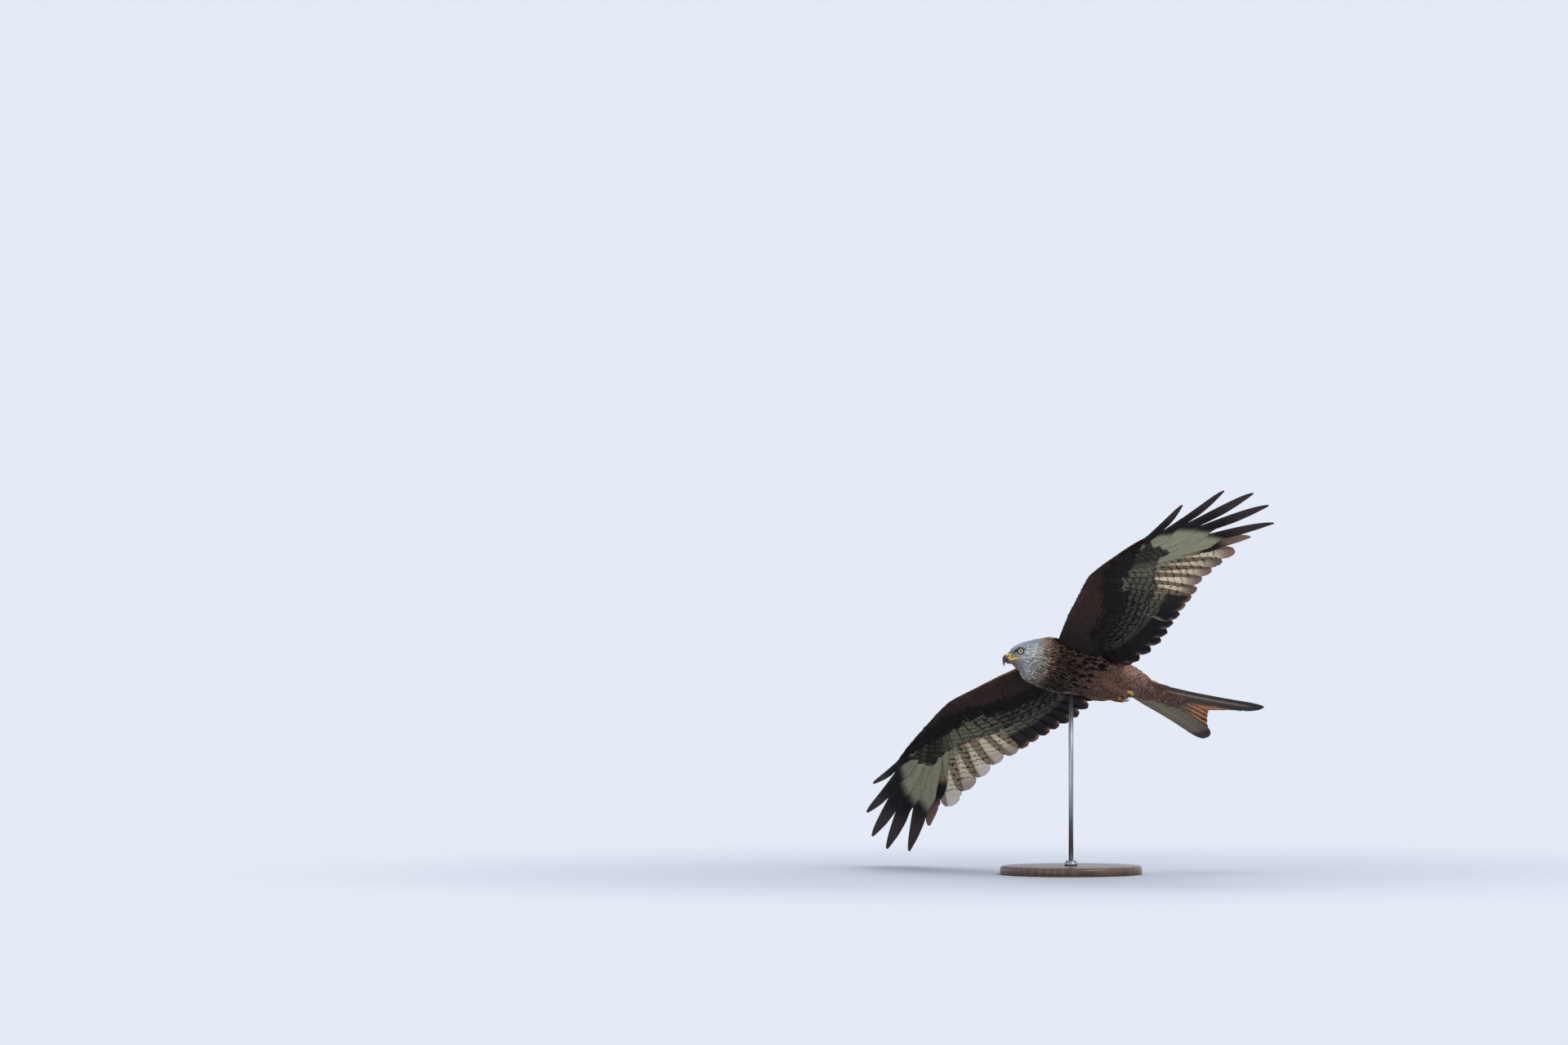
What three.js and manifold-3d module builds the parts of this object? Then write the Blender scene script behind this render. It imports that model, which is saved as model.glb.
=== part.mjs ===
// A life-size red kite in a banked glide, on a plain display stand.
// Millimetres, +Z up, +X is the way it flies. The origin is the middle of the stand's underside.
// The bird is modelled level in its own frame (x forward, y left, z up, from the middle of the
// trunk) and is then pitched and banked as one group.
import * as THREE from "three";
import { mergeVertices } from "three/addons/utils/BufferGeometryUtils.js";
import Module from "manifold-3d";

const wasm = await Module();
wasm.setup();

// Driving dimensions
const GAP = 0.3; // left between neighbouring pieces
const CUT = GAP / 2;
const PITCH = 14.8; // degrees, nose up
const BANK = 32; // degrees, left wing up
const HEIGHT = 440; // from the floor to the middle of the trunk
const BALANCE = [4, 2]; // level shift that brings the weight over the middle of the base
const BASE_RADIUS = 150;
const BASE_THICK = 18;
const ROD_RADIUS = 5;
const ROD_SUNK = 12;

// Trunk and neck stations: x, height of the middle, half width, half height
const TRUNK = [
  [-196, 3, 20, 12],
  [-180, 2, 29, 21],
  [-150, 1, 38, 32],
  [-120, -3, 43, 39],
  [-79, -4, 48, 44],
  [-18, -6, 54, 50],
  [30, -11, 55, 52],
  [63, -8, 54, 53],
  [84, -11, 50, 48],
  [101, -12, 43, 43],
];
const NECK_PLANE = 80;

// The head has its own frame, from the point midway between the eyes
const HEAD_AT = [129.2, 0.4, -5.2];
const HEAD_YAW = -26;
const HEAD_PITCH = 4;
const HEAD_ROLL = -20;
// Head stations: forward, middle height, half width, reach up, reach down
const HEAD = [
  [-16, -7, 27, 31, 50],
  [-7, -5, 22, 27, 43],
  [3, -4, 18.5, 22, 35],
  [11, -4, 14.5, 18.5, 27],
  [16, -4.5, 11.6, 15, 19.5],
  [19.5, -5.5, 8.8, 12, 14.5],
];
const HEAD_PLANE = -19;
const EYE_RADIUS = 8;
const EYE_SIDE = 13;
const LID_RADIUS = 7.2;
const BILL_PARTING = -14.6; // height of the line of the mouth

// Wing: 12 secondaries from the body outward, then 10 primaries
const SECONDARIES = 12;
const PRIMARIES = 10;
const FLIGHT = SECONDARIES + PRIMARIES;
const WRIST = [117, 272];
const ELBOW = [45, 170];
const HAND_END = [126, 386];
const SECONDARY_LENGTH = [[1, 221], [3, 204], [5, 194], [9, 192], [12, 174]];
const SECONDARY_SPLAY = [[1, 27], [3, 16], [5, 3], [7, -10], [9, -28], [12, -38]];
const PRIMARY_LENGTH = [227, 243, 265, 296, 342, 408, 415, 392, 326, 216];
const PRIMARY_SPLAY = [35.5, 43.5, 51, 57.5, 62.5, 66.2, 71.5, 75.6, 79.7, 85.4];
const BOW = [[4, 5], [6, 1.6]]; // degrees that a primary bends back from root to tip
const SAG = [[5, 0], [6, 7], [9, 7], [10, 3]]; // how far the middle of a long primary hangs below its ends
const NOTCH = [[5, 0.64], [6, 0.58], [8, 0.5], [10, 0.34]]; // where the outer primaries start to narrow
const FAN_AT = [150, 255]; // the point that the flight feathers fan from, in plan
const VANE_THICK = 0.6;
const SHINGLE = 1; // step from one vane down to the next one outward
const COVERT_RISE = [3.9, -4.6]; // of the greater coverts, above and below
const COVERT_SHARE = [0.5, 0.42]; // of the flight feather that they hide, above and below

// Span stations of the wing: leading edge, thick part's chord and thickness, by y
const LEADING_X = [[25, 52], [50, 60], [95, 76], [140, 91], [209, 110], [250, 122], [272, 127], [308, 129], [350, 129],
  [401, 129], [440, 126], [470, 121]];
const ARM_CHORD = [[25, 112], [95, 104], [170, 98], [230, 86], [270, 74], [308, 62], [350, 46], [401, 28], [440, 15],
  [470, 8]];
const ARM_THICK = [[25, 38], [60, 32], [95, 27], [140, 22], [209, 18], [270, 16], [308, 14], [350, 12.5], [401, 10],
  [440, 6.5], [470, 3.5]];
// Height of the wing's middle surface at x = 0, and its slope along x
const WING_RISE = [[25, 6], [81, 9], [150, 13], [270, 17], [330, 14], [400, 8], [480, -1], [600, -9.5], [740, -18]];
const WING_TWIST = [[25, 0.1], [270, 0.1], [400, 0.05], [480, 0.07], [600, 0.3], [740, 0.6]];
const ARM_CAMBER = 6;

// Tail: six feathers a side from the middle outward, each with its length and splay
const TAIL_ROOT = [-150, 0, -2.4];
const TAIL_YAW = 10.9; // degrees, swung to the right
const TAIL_LIFT = 5.2;
const TAIL_ROLL = -4.7;
const TAIL_LENGTH = [238, 246, 257, 272, 293, 321];
const TAIL_SPLAY = [1, 3.1, 5.2, 7.4, 9.8, 12.3];
const TAIL_BASE = 22; // half width of the row of quills where they leave the body
const TAIL_STEP = 0.95; // from one tail feather down to the next, left and right in turn
const TAIL_COVERTS = [[9, 110], [-10, 122]]; // rise and length, above and below

// Feet: where the toes part, in the bird's frame, and the toes' lengths from inner to outer
const FOOT_AT = [-121, 15, -37.9];
const TOE_LENGTH = [20, 27, 22];
const TOE_SPREAD = 4.2;
const TALON_LENGTH = 11.5;
const TALON_ARC = 52; // degrees, curled up towards the belly, and the hind one backwards

const rad = THREE.MathUtils.degToRad;
const lerp = THREE.MathUtils.lerp;
const vec = (x, y, z) => new THREE.Vector3(x, y, z);
const smooth = (t) => THREE.MathUtils.smoothstep(t, 0, 1);

// Reads a short table of [at, value] pairs, straight between them
function along(table, at) {
  let i = 1;
  while (i < table.length - 1 && at > table[i][0]) i++;
  const [a, va] = table[i - 1];
  const [b, vb] = table[i];
  return lerp(va, vb, THREE.MathUtils.clamp((at - a) / (b - a), 0, 1));
}

// Solids
function solid(points, faces) {
  const g = new THREE.BufferGeometry();
  g.setAttribute("position", new THREE.Float32BufferAttribute(points.flatMap((p) => [p.x, p.y, p.z]), 3));
  g.setIndex(faces.flat());
  return solidOf(g);
}

function solidOf(geometry) {
  const bare = geometry.clone();
  bare.deleteAttribute("normal");
  bare.deleteAttribute("uv");
  const g = mergeVertices(bare, 1e-4);
  const tri = new Uint32Array(g.index.array);
  const p = g.attributes.position;
  const [a, b, c] = [vec(), vec(), vec()];
  let six = 0;
  for (let i = 0; i < tri.length; i += 3) {
    a.fromBufferAttribute(p, tri[i]);
    b.fromBufferAttribute(p, tri[i + 1]);
    c.fromBufferAttribute(p, tri[i + 2]);
    six += a.dot(b.cross(c));
  }
  if (six < 0) for (let i = 0; i < tri.length; i += 3) [tri[i + 1], tri[i + 2]] = [tri[i + 2], tri[i + 1]];
  return new wasm.Manifold(new wasm.Mesh({ numProp: 3, vertProperties: p.array, triVerts: tri }));
}

// A closed skin over rings of equally many points, with a point in the middle of each end
function loft(rings) {
  const n = rings[0].length;
  const points = rings.flat();
  const faces = [];
  for (let r = 0; r + 1 < rings.length; r++) {
    for (let i = 0; i < n; i++) {
      const [a, b] = [r * n + i, r * n + ((i + 1) % n)];
      faces.push([a, b, b + n], [a, b + n, a + n]);
    }
  }
  for (const last of [false, true]) {
    const ring = last ? rings.at(-1) : rings[0];
    const from = last ? (rings.length - 1) * n : 0;
    const middle = ring.reduce((s, p) => s.add(p), vec(0, 0, 0)).divideScalar(n);
    points.push(middle);
    for (let i = 0; i < n; i++) {
      const [a, b] = [from + i, from + ((i + 1) % n)];
      faces.push(last ? [a, b, points.length - 1] : [b, a, points.length - 1]);
    }
  }
  return solid(points, faces);
}

function join(solids) {
  return wasm.Manifold.union(solids);
}

// The largest closed body, which drops scraps that a cut leaves loose
function largest(s) {
  return s.decompose().reduce((best, b) => (b.volume() > best.volume() ? b : best));
}

function ball(at, radii, turns = [12, 8]) {
  const g = new THREE.SphereGeometry(1, ...turns).scale(...radii).translate(...at);
  return solidOf(g);
}

function rod(from, to, radius, sides = 16, end = radius) {
  const axis = to.clone().sub(from);
  const g = new THREE.CylinderGeometry(end, radius, axis.length(), sides);
  g.translate(0, axis.length() / 2, 0);
  g.applyQuaternion(new THREE.Quaternion().setFromUnitVectors(vec(0, 1, 0), axis.normalize()));
  return solidOf(g.translate(from.x, from.y, from.z));
}

// Trunk, neck and head as one skin, which planes part into nodes
const headTurn = new THREE.Matrix4().makeRotationFromEuler(
  new THREE.Euler(rad(HEAD_ROLL), rad(HEAD_PITCH), rad(HEAD_YAW), "ZYX"),
);
const headFrame = new THREE.Matrix4().makeTranslation(...HEAD_AT).multiply(headTurn);
const inHead = (x, y, z) => vec(x, y, z).applyMatrix4(headFrame);
const headAxis = vec(1, 0, 0).transformDirection(headFrame);

function bodyRings(extra) {
  const sides = 20;
  const ring = (place) =>
    Array.from({ length: sides }, (_, i) => {
      const a = ((i + 0.5) / sides) * 2 * Math.PI;
      return place(Math.sin(a), Math.cos(a));
    });
  const trunk = TRUNK.map(([x, z, w, h], i) =>
    ring((s, c) => vec(x - (i === 0 ? extra : 0), s * (w + extra), z + c * (h + extra))),
  );
  const head = HEAD.map(([x, z, w, up, down], i) =>
    ring((s, c) => {
      const reach = (c > 0 ? up : down) + extra;
      // The throat narrows below the cheeks
      const narrow = c > 0 ? 1 : 1 - 0.28 * c * c;
      const forward = i === HEAD.length - 1 ? extra : 0;
      return inHead(x + forward, s * (w + extra) * narrow, z + c * reach);
    }),
  );
  return [...trunk, ...head];
}

const body = loft(bodyRings(0));
const bodyRoom = loft(bodyRings(GAP));

// Wing surface: every feather of the left wing lies on this height; the right wing mirrors it
function wingHeight(x, y) {
  const arm = 1 - smooth((y - 330) / 170);
  const camber = ARM_CAMBER * arm * (1 - (x / 125) ** 2);
  return along(WING_RISE, y) + along(WING_TWIST, y) * x + camber;
}

// The quill of flight feather k, 0 next to the body, in plan
function quill(k) {
  if (k < SECONDARIES) {
    const j = SECONDARIES - k;
    const t = (j - 0.5) / 9;
    const beyond = Math.max(0, t - 1);
    const base = [
      lerp(WRIST[0], ELBOW[0], Math.min(t, 1)) - 10 * beyond,
      lerp(WRIST[1], ELBOW[1], Math.min(t, 1)) - 110 * beyond,
    ];
    return { base, length: along(SECONDARY_LENGTH, j), splay: along(SECONDARY_SPLAY, j), bend: 5, number: j };
  }
  const i = k - SECONDARIES;
  const t = (i + 0.4) / (PRIMARIES - 0.6);
  const base = [lerp(WRIST[0], HAND_END[0], t), lerp(WRIST[1], HAND_END[1], t)];
  const bend = along(BOW, i + 1);
  return { base, length: PRIMARY_LENGTH[i], splay: PRIMARY_SPLAY[i], bend, number: i + 1, primary: true };
}

const quills = Array.from({ length: FLIGHT }, (_, k) => quill(k));

// A point of a quill in plan, bowed back a little towards the tip
function onQuill(k, s) {
  const { base, length, splay, bend } = quills[k];
  const bow = rad(splay + bend * (0.5 - s));
  return [base[0] - length * s * Math.cos(bow), base[1] + length * s * Math.sin(bow)];
}

// Which feather's tip lies straight out from the fan point through this place, as a running number
const tipAngles = quills.map((_, k) => {
  const [x, y] = onQuill(k, 1);
  return [Math.atan2(y - FAN_AT[1], FAN_AT[0] - x), k];
});

function order(x, y) {
  return along(tipAngles, Math.atan2(y - FAN_AT[1], FAN_AT[0] - x));
}

// A rounded end: full width up to the share `from`, then narrowing to a blunt tip
function rounded(s, from) {
  return s > from ? Math.sqrt(Math.max(0, 1 - ((s - from) / (1.015 - from)) ** 2)) : 1;
}

// A pointed end, as on the fingers of the hand
function pointed(s, from) {
  return s > from ? 1 - ((s - from) / (1.03 - from)) ** 1.7 : 1;
}

// Widths of the leading and trailing web of flight feather k at share s of its length
function webs(k, s) {
  const { number, primary } = quills[k];
  const grown = lerp(0.4, 1, smooth(s / 0.3));
  if (!primary) return [15 * grown * rounded(s, 0.88), 33 * grown * rounded(s, 0.85)];
  const finger = number >= 5 ? smooth((s - along(NOTCH, number)) / 0.16) : 0;
  const broad = along([[1, 34], [6, 38], [8, 34], [10, 17]], number);
  const narrow = along([[5, 28], [6, 25.5], [8, 21], [10, 8]], number);
  const lead = along([[1, 17], [4, 14], [5, 8], [6, 4], [10, 2.5]], number);
  const end = number >= 5 ? pointed(s, 0.71) : rounded(s, 0.84);
  return [lead * grown * rounded(s, 0.88), lerp(broad, narrow, finger) * grown * end];
}

// A thin closed plate between two like grids of points, split into triangles alike on both faces
function plate(top, under) {
  const [rows, cols] = [top.length, top[0].length];
  const n = rows * cols;
  const id = (r, c, low) => r * cols + c + (low ? n : 0);
  const faces = [];
  const quad = (a, b, c, d) => faces.push([a, b, c], [a, c, d]);
  for (let r = 0; r + 1 < rows; r++) {
    for (let c = 0; c + 1 < cols; c++) {
      quad(id(r, c), id(r, c + 1), id(r + 1, c + 1), id(r + 1, c));
      faces.push([id(r, c, 1), id(r + 1, c + 1, 1), id(r, c + 1, 1)]);
      faces.push([id(r, c, 1), id(r + 1, c, 1), id(r + 1, c + 1, 1)]);
    }
  }
  for (let r = 0; r + 1 < rows; r++) {
    quad(id(r, 0), id(r + 1, 0), id(r + 1, 0, 1), id(r, 0, 1));
    quad(id(r, cols - 1), id(r, cols - 1, 1), id(r + 1, cols - 1, 1), id(r + 1, cols - 1));
  }
  for (let c = 0; c + 1 < cols; c++) {
    quad(id(0, c), id(0, c, 1), id(0, c + 1, 1), id(0, c + 1));
    quad(id(rows - 1, c), id(rows - 1, c + 1), id(rows - 1, c + 1, 1), id(rows - 1, c, 1));
  }
  return solid([...top.flat(), ...under.flat()], faces);
}

// One vane of the wing along quill k, from its root to the given share, at a rise above the wing's surface
function vane(side, k, shares, rise, end = 1, wider = 1) {
  const { number, primary } = quills[k];
  const level = rise * (primary ? along([[1, 1], [10, 0.7]], number) : 1);
  const sag = primary ? along(SAG, number) : 0;
  const rows = shares.map((share) => {
    const s = share * end;
    const [here, ahead] = [onQuill(k, s), onQuill(k, s + 0.01)];
    const turn = Math.atan2(ahead[1] - here[1], ahead[0] - here[0]);
    const [lead, trail] = rise === 0 ? webs(k, s) : webs(k, Math.min(s, 0.45)).map((w) => w * wider * rounded(share, 0.8));
    return [lead, -trail].map((off) => {
      const [x, y] = [here[0] + off * Math.sin(turn), here[1] - off * Math.cos(turn)];
      const hang = sag * Math.sin(Math.PI * THREE.MathUtils.clamp((s - 0.3) / 0.7, 0, 1));
      return vec(x, side * y, wingHeight(x, y) + level - hang + SHINGLE * (order(x, y) - k));
    });
  });
  const shifted = (up) => rows.map((row) => row.map((p) => p.clone().setZ(p.z + (up * VANE_THICK) / 2)));
  return plate(shifted(1), shifted(-1));
}

// The thick forward part of the wing, out to the hand
function armBody(side) {
  const profile = [[0, 0], [0.05, 0.3], [0.2, 0.5], [0.5, 0.46], [0.8, 0.33], [1, 0.2]];
  return loft(
    ARM_CHORD.map(([y]) => y).concat([120, 200, 250, 290, 330, 375, 420]).sort((a, b) => a - b).map((y) => {
      const [lead, chord, thick] = [along(LEADING_X, y), along(ARM_CHORD, y), along(ARM_THICK, y)];
      const at = ([share, half], up) => {
        const x = lead - chord * share;
        const rear = 0.2 * thick < 3.4 && share === 1 ? 3.4 / (0.2 * thick) : 1;
        return vec(x, side * y, wingHeight(x, y) + up * half * thick * Math.min(rear, 2.2));
      };
      const top = profile.map((p) => at(p, 1.05));
      const under = profile.slice(1).reverse().map((p) => at(p, -0.95));
      return [...top, ...under];
    }),
  );
}

function wing(side) {
  const long = (number) => [0.03, along(NOTCH, number), along(NOTCH, number) + 0.16, 0.84, 0.95, 1];
  const short = [0.03, 0.35, 0.7, 0.92, 1];
  const covert = [0.05, 0.5, 0.85, 1];
  const feathers = quills.map(({ number, primary }, k) => {
    const own = [vane(side, k, primary && number > 4 ? long(number) : short, 0)];
    for (const up of k < 3 ? [] : [0, 1]) own.push(vane(side, k, covert, COVERT_RISE[up], COVERT_SHARE[up], 0.92));
    return { own, primary };
  });
  const arm = armBody(side);
  // The wrist is parted by an upright plane between the first primary and the first secondary
  const [a, b] = [onQuill(SECONDARIES - 1, 1), onQuill(SECONDARIES, 1)];
  const out = vec((a[0] + b[0]) / 2, (side * (a[1] + b[1])) / 2, 0);
  const wrist = vec(WRIST[0], side * WRIST[1], 0);
  const normal = out.sub(wrist).cross(vec(0, 0, side)).normalize();
  const at = normal.dot(wrist);
  const fused = (hand) => join([arm, ...feathers.filter((f) => !f.primary === !hand).flatMap((f) => f.own)]);
  const outer = fused(true).trimByPlane(normal.toArray(), at + CUT);
  const inner = fused(false);
  const open = inner.trimByPlane(normal.clone().negate().toArray(), -at + CUT).subtract(bodyRoom);
  return { arm: largest(open), hand: largest(outer) };
}

// Tail: the middle pair lies on top and each pair outward lies lower
const tailTurn = new THREE.Matrix4().makeRotationFromEuler(
  new THREE.Euler(rad(TAIL_ROLL), rad(TAIL_LIFT), rad(TAIL_YAW), "ZYX"),
);
const tailFrame = new THREE.Matrix4().makeTranslation(...TAIL_ROOT).multiply(tailTurn);
const inTail = (x, y, z) => vec(x, y, z).applyMatrix4(tailFrame);

function tailVane(pair, side, shares, rise, length, width) {
  const splay = side * rad(TAIL_SPLAY[pair]);
  const base = (side * TAIL_BASE * (pair + 0.5)) / 6;
  const level = rise - TAIL_STEP * (2 * pair + (side < 0 ? 1 : 0)) + TAIL_STEP * 5;
  const rows = shares.map((s) => {
    const turn = splay * (0.6 + 0.8 * s);
    const [x, y] = [-length * s * Math.cos(splay), base + length * Math.sin(splay) * s * (0.55 + 0.45 * s)];
    const tip = rounded(s, 0.84);
    const outer = pair === 5 ? 0.3 : 0.4;
    return [side * width * outer, -side * width * (1 - outer)].map((off) => {
      const w = off * tip * lerp(0.55, 1, smooth(s / 0.35));
      return inTail(x + w * Math.sin(turn), y + w * Math.cos(turn), level);
    });
  });
  const up = vec(0, 0, VANE_THICK / 2).transformDirection(tailFrame).multiplyScalar(VANE_THICK / 2);
  return plate(rows.map((r) => r.map((p) => p.clone().add(up))), rows.map((r) => r.map((p) => p.clone().sub(up))));
}

function tail() {
  const pieces = [];
  for (let pair = 0; pair < 6; pair++) {
    for (const side of [1, -1]) {
      pieces.push(tailVane(pair, side, [0.06, 0.4, 0.84, 0.96, 1], 0, TAIL_LENGTH[pair], 44));
      if (pair > 2) continue;
      for (const [rise, length] of TAIL_COVERTS) {
        pieces.push(tailVane(pair, side, [0.1, 0.6, 0.9, 1], rise, length * (1 - 0.09 * pair), 36));
      }
    }
  }
  const root = loft(
    [[0, 24, 17], [-46, 27, 16], [-66, 27, 12.5], [-90, 26, 8], [-115, 22, 3]].map(([x, w, h]) =>
      Array.from({ length: 16 }, (_, i) => {
        const a = (i / 16) * 2 * Math.PI;
        return inTail(x, w * Math.sin(a), h * Math.cos(a));
      }),
    ),
  );
  return largest(join([root, ...pieces]).subtract(bodyRoom));
}

// Bill, in the head's frame: culmen and tomium points with half widths
function billSolids() {
  const upper = [
    [[27.6, -0.4], [27.6, -14.2], 6.2],
    [[31.5, -1.8], [30, -14.8], 5.4],
    [[35.2, -6], [31.6, -16], 4.5],
    [[36.9, -12.2], [32.6, -18.5], 3.4],
    [[36.4, -19.5], [33.2, -22.5], 2.1],
    [[34.8, -26.8], [34.2, -26.9], 0.5],
  ];
  const cere = [
    [[18, 4.8], [17.5, -13.4], 8.9],
    [[24, 1.8], [23.5, -14], 7.4],
    [[27.3, -0.2], [27.3, -14.2], 6.4],
  ];
  const lower = [
    [[18, BILL_PARTING + 0.2], [18, -21.8], 7.2],
    [[25, BILL_PARTING - 0.3], [24.5, -20.8], 5.2],
    [[29, -15.4], [28.6, -19.2], 3.6],
    [[31, -16.6], [30.6, -17.8], 1.6],
  ];
  const shape = (rows, sides = 12) =>
    loft(
      rows.map(([[tx, tz], [bx, bz], w]) =>
        Array.from({ length: sides }, (_, i) => {
          const a = (i / sides) * 2 * Math.PI;
          const t = (1 - Math.cos(a)) / 2;
          return inHead(lerp(tx, bx, t), w * Math.sin(a), lerp(tz, bz, t));
        }),
      ),
    );
  return { upper: shape(upper), cere: shape(cere), lower: shape(lower) };
}

const mirrored = [
  ["left", 1],
  ["right", -1],
];

// A geometry built in the head's frame
function headSolid(geometry) {
  return solidOf(geometry.applyMatrix4(headFrame));
}

// Brow ridge and the rim of the lids, added to the skull on one side
function lids(side) {
  const brow = new THREE.SphereGeometry(1, 10, 6).scale(11.5, 4.2, 2.6).rotateY(rad(14));
  const rim = new THREE.TorusGeometry(LID_RADIUS, 1.3, 5, 14).rotateX(Math.PI / 2);
  return join([
    headSolid(brow.translate(1.5, side * 15.3, 7.6)),
    headSolid(rim.translate(0, side * (EYE_SIDE + 4.5), 0)),
  ]);
}

// The line of the mouth runs back from the bill to below the eye
function mouthLine(side) {
  const slit = new THREE.BoxGeometry(21.6, 4, 0.9).rotateZ(-side * rad(31));
  return headSolid(slit.translate(10, side * 13.4, BILL_PARTING - 0.2));
}

function nostril(side) {
  const hole = new THREE.SphereGeometry(1, 10, 6).scale(2.1, 1.6, 1.1).rotateY(rad(-35));
  return headSolid(hole.translate(23, side * 7.6, -4));
}

function headSolids() {
  const { upper, cere, lower } = billSolids();
  let skull = body.trimByPlane(headAxis.toArray(), headAxis.dot(inHead(HEAD_PLANE, 0, 0)) + CUT);
  let nose = cere;
  const eyes = {};
  for (const [name, side] of mirrored) {
    const at = inHead(0, side * EYE_SIDE, 0).toArray();
    eyes[name] = ball(at, [EYE_RADIUS, EYE_RADIUS, EYE_RADIUS], [12, 8]);
    const room = ball(at, [EYE_RADIUS + GAP, EYE_RADIUS + GAP, EYE_RADIUS + GAP], [12, 8]);
    skull = skull.add(lids(side)).subtract(room).subtract(mouthLine(side));
    nose = nose.subtract(nostril(side));
  }
  const front = headAxis.dot(inHead(HEAD.at(-1)[0], 0, 0)) + CUT * 2;
  const ahead = (s) => largest(s.trimByPlane(headAxis.toArray(), front));
  return { skull: largest(skull), upper, cere: ahead(nose), lower: ahead(lower), eyes };
}

// A closed round tube through points, each with its radius
function tube(points, radii, sides) {
  const side = points[1].clone().sub(points[0]).cross(points.at(-1).clone().sub(points[0]));
  if (side.length() < 1e-3) side.set(0, 1, 0);
  return loft(
    points.map((p, i) => {
      const axis = points[Math.min(i + 1, points.length - 1)].clone().sub(points[Math.max(i - 1, 0)]).normalize();
      const u = side.clone().addScaledVector(axis, -side.dot(axis)).normalize();
      const v = axis.clone().cross(u);
      return Array.from({ length: sides }, (_, n) => {
        const a = (n / sides) * 2 * Math.PI;
        return p.clone().addScaledVector(u, radii[i] * Math.cos(a)).addScaledVector(v, radii[i] * Math.sin(a));
      });
    }),
  );
}

// Legs: a feathered thigh against the belly, then a bare foot drawn up under the tail
function thigh(side, extra = 0) {
  const line = [[-44, 27, -27], [-70, 25, -35], [-94, 19, -38.5], [-108 - extra, 15.5, -39]];
  const radii = [6, 11.5, 9.5, 5.5].map((r) => r + extra);
  return tube(line.map(([x, y, z]) => vec(x, side * y, z)), radii, 12);
}

function leg(side) {
  return largest(thigh(side).subtract(bodyRoom));
}

// Three front toes lie back along the belly, soles up, and the fourth is folded inside them
function toeLine(side, i) {
  const heel = vec(FOOT_AT[0], side * FOOT_AT[1], FOOT_AT[2]);
  if (i === 3) return [heel, vec(-5, -side * 5.5, -2.5).add(heel), vec(-10, -side * 8.7, -3).add(heel)];
  const spread = side * (i - 1) * TOE_SPREAD;
  const length = TOE_LENGTH[i];
  return [heel, vec(-0.45 * length, 0.6 * spread, -1).add(heel), vec(-0.8 * length, spread, -0.5).add(heel),
    vec(-length, spread * 1.1, 0.5).add(heel)];
}

function foot(side) {
  const heel = vec(FOOT_AT[0], side * FOOT_AT[1], FOOT_AT[2]);
  const shank = tube([vec(20, side * 2, 0).add(heel), vec(9, side, -0.5).add(heel), heel], [4.2, 3.8, 4.4], 8);
  const toes = [0, 1, 2, 3].map((i) => {
    const line = toeLine(side, i);
    return tube(line, line.map((_, n) => lerp(3.3, 2.5, n / (line.length - 1))), 6);
  });
  return largest(join([shank, ...toes]).subtract(bodyRoom).subtract(thigh(side, GAP)));
}

function talon(side, i) {
  const line = toeLine(side, i);
  const end = line.at(-1);
  const ahead = end.clone().sub(line.at(-2)).normalize();
  const curl = i === 3 ? vec(-1, 0, 0) : vec(0, 0, 1);
  const points = [0, 0.35, 0.7, 1].map((t) => {
    const a = rad(TALON_ARC) * t;
    const r = TALON_LENGTH / rad(TALON_ARC);
    return end.clone().addScaledVector(ahead, r * Math.sin(a)).addScaledVector(curl, r * (1 - Math.cos(a)));
  });
  const claw = tube(points, [2.2, 1.8, 1.2, 0.3], 6);
  return largest(claw.trimByPlane(ahead.toArray(), ahead.dot(end) + GAP).subtract(bodyRoom));
}

// Placing the bird
const attitude = new THREE.Matrix4().makeRotationFromEuler(new THREE.Euler(rad(BANK), rad(-PITCH), 0, "ZYX"));
const placed = new THREE.Matrix4().makeTranslation(BALANCE[0], BALANCE[1], HEIGHT).multiply(attitude);
const placedBack = placed.clone().invert();

const materials = {
  rufous: new THREE.MeshStandardMaterial({ color: 0x7a4a30, roughness: 0.85 }),
  grey: new THREE.MeshStandardMaterial({ color: 0xa9adb0, roughness: 0.85 }),
  dark: new THREE.MeshStandardMaterial({ color: 0x2a2320, roughness: 0.8 }),
  tail: new THREE.MeshStandardMaterial({ color: 0xa8623a, roughness: 0.8 }),
  horn: new THREE.MeshStandardMaterial({ color: 0x23252b, roughness: 0.35 }),
  yellow: new THREE.MeshStandardMaterial({ color: 0xe0a52c, roughness: 0.5 }),
  iris: new THREE.MeshStandardMaterial({ color: 0xd9d6b0, roughness: 0.1 }),
  steel: new THREE.MeshStandardMaterial({ color: 0x8c9095, roughness: 0.35, metalness: 1 }),
  wood: new THREE.MeshStandardMaterial({ color: 0x3a2a20, roughness: 0.6 }),
};

function meshOf(name, s, material) {
  const m = s.getMesh();
  const g = new THREE.BufferGeometry();
  const p = new Float32Array(m.numVert * 3);
  for (let i = 0; i < m.numVert; i++) p.set(m.vertProperties.subarray(i * m.numProp, i * m.numProp + 3), i * 3);
  g.setAttribute("position", new THREE.BufferAttribute(p, 3));
  g.setIndex(new THREE.BufferAttribute(m.triVerts, 1));
  const mesh = new THREE.Mesh(g, material);
  mesh.name = name;
  return mesh;
}

const kite = new THREE.Group();
kite.applyMatrix4(placed);
const add = (name, s, material) => kite.add(meshOf(name, s, materials[material]));

// The rod stands upright in the world, so its axis leans in the bird's own frame
const rodTop = vec(0, 0, HEIGHT - 40).applyMatrix4(placedBack);
const rodFoot = vec(0, 0, BASE_THICK - ROD_SUNK).applyMatrix4(placedBack);
const socket = rod(rodFoot, rodTop, ROD_RADIUS + GAP, 20);

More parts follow.
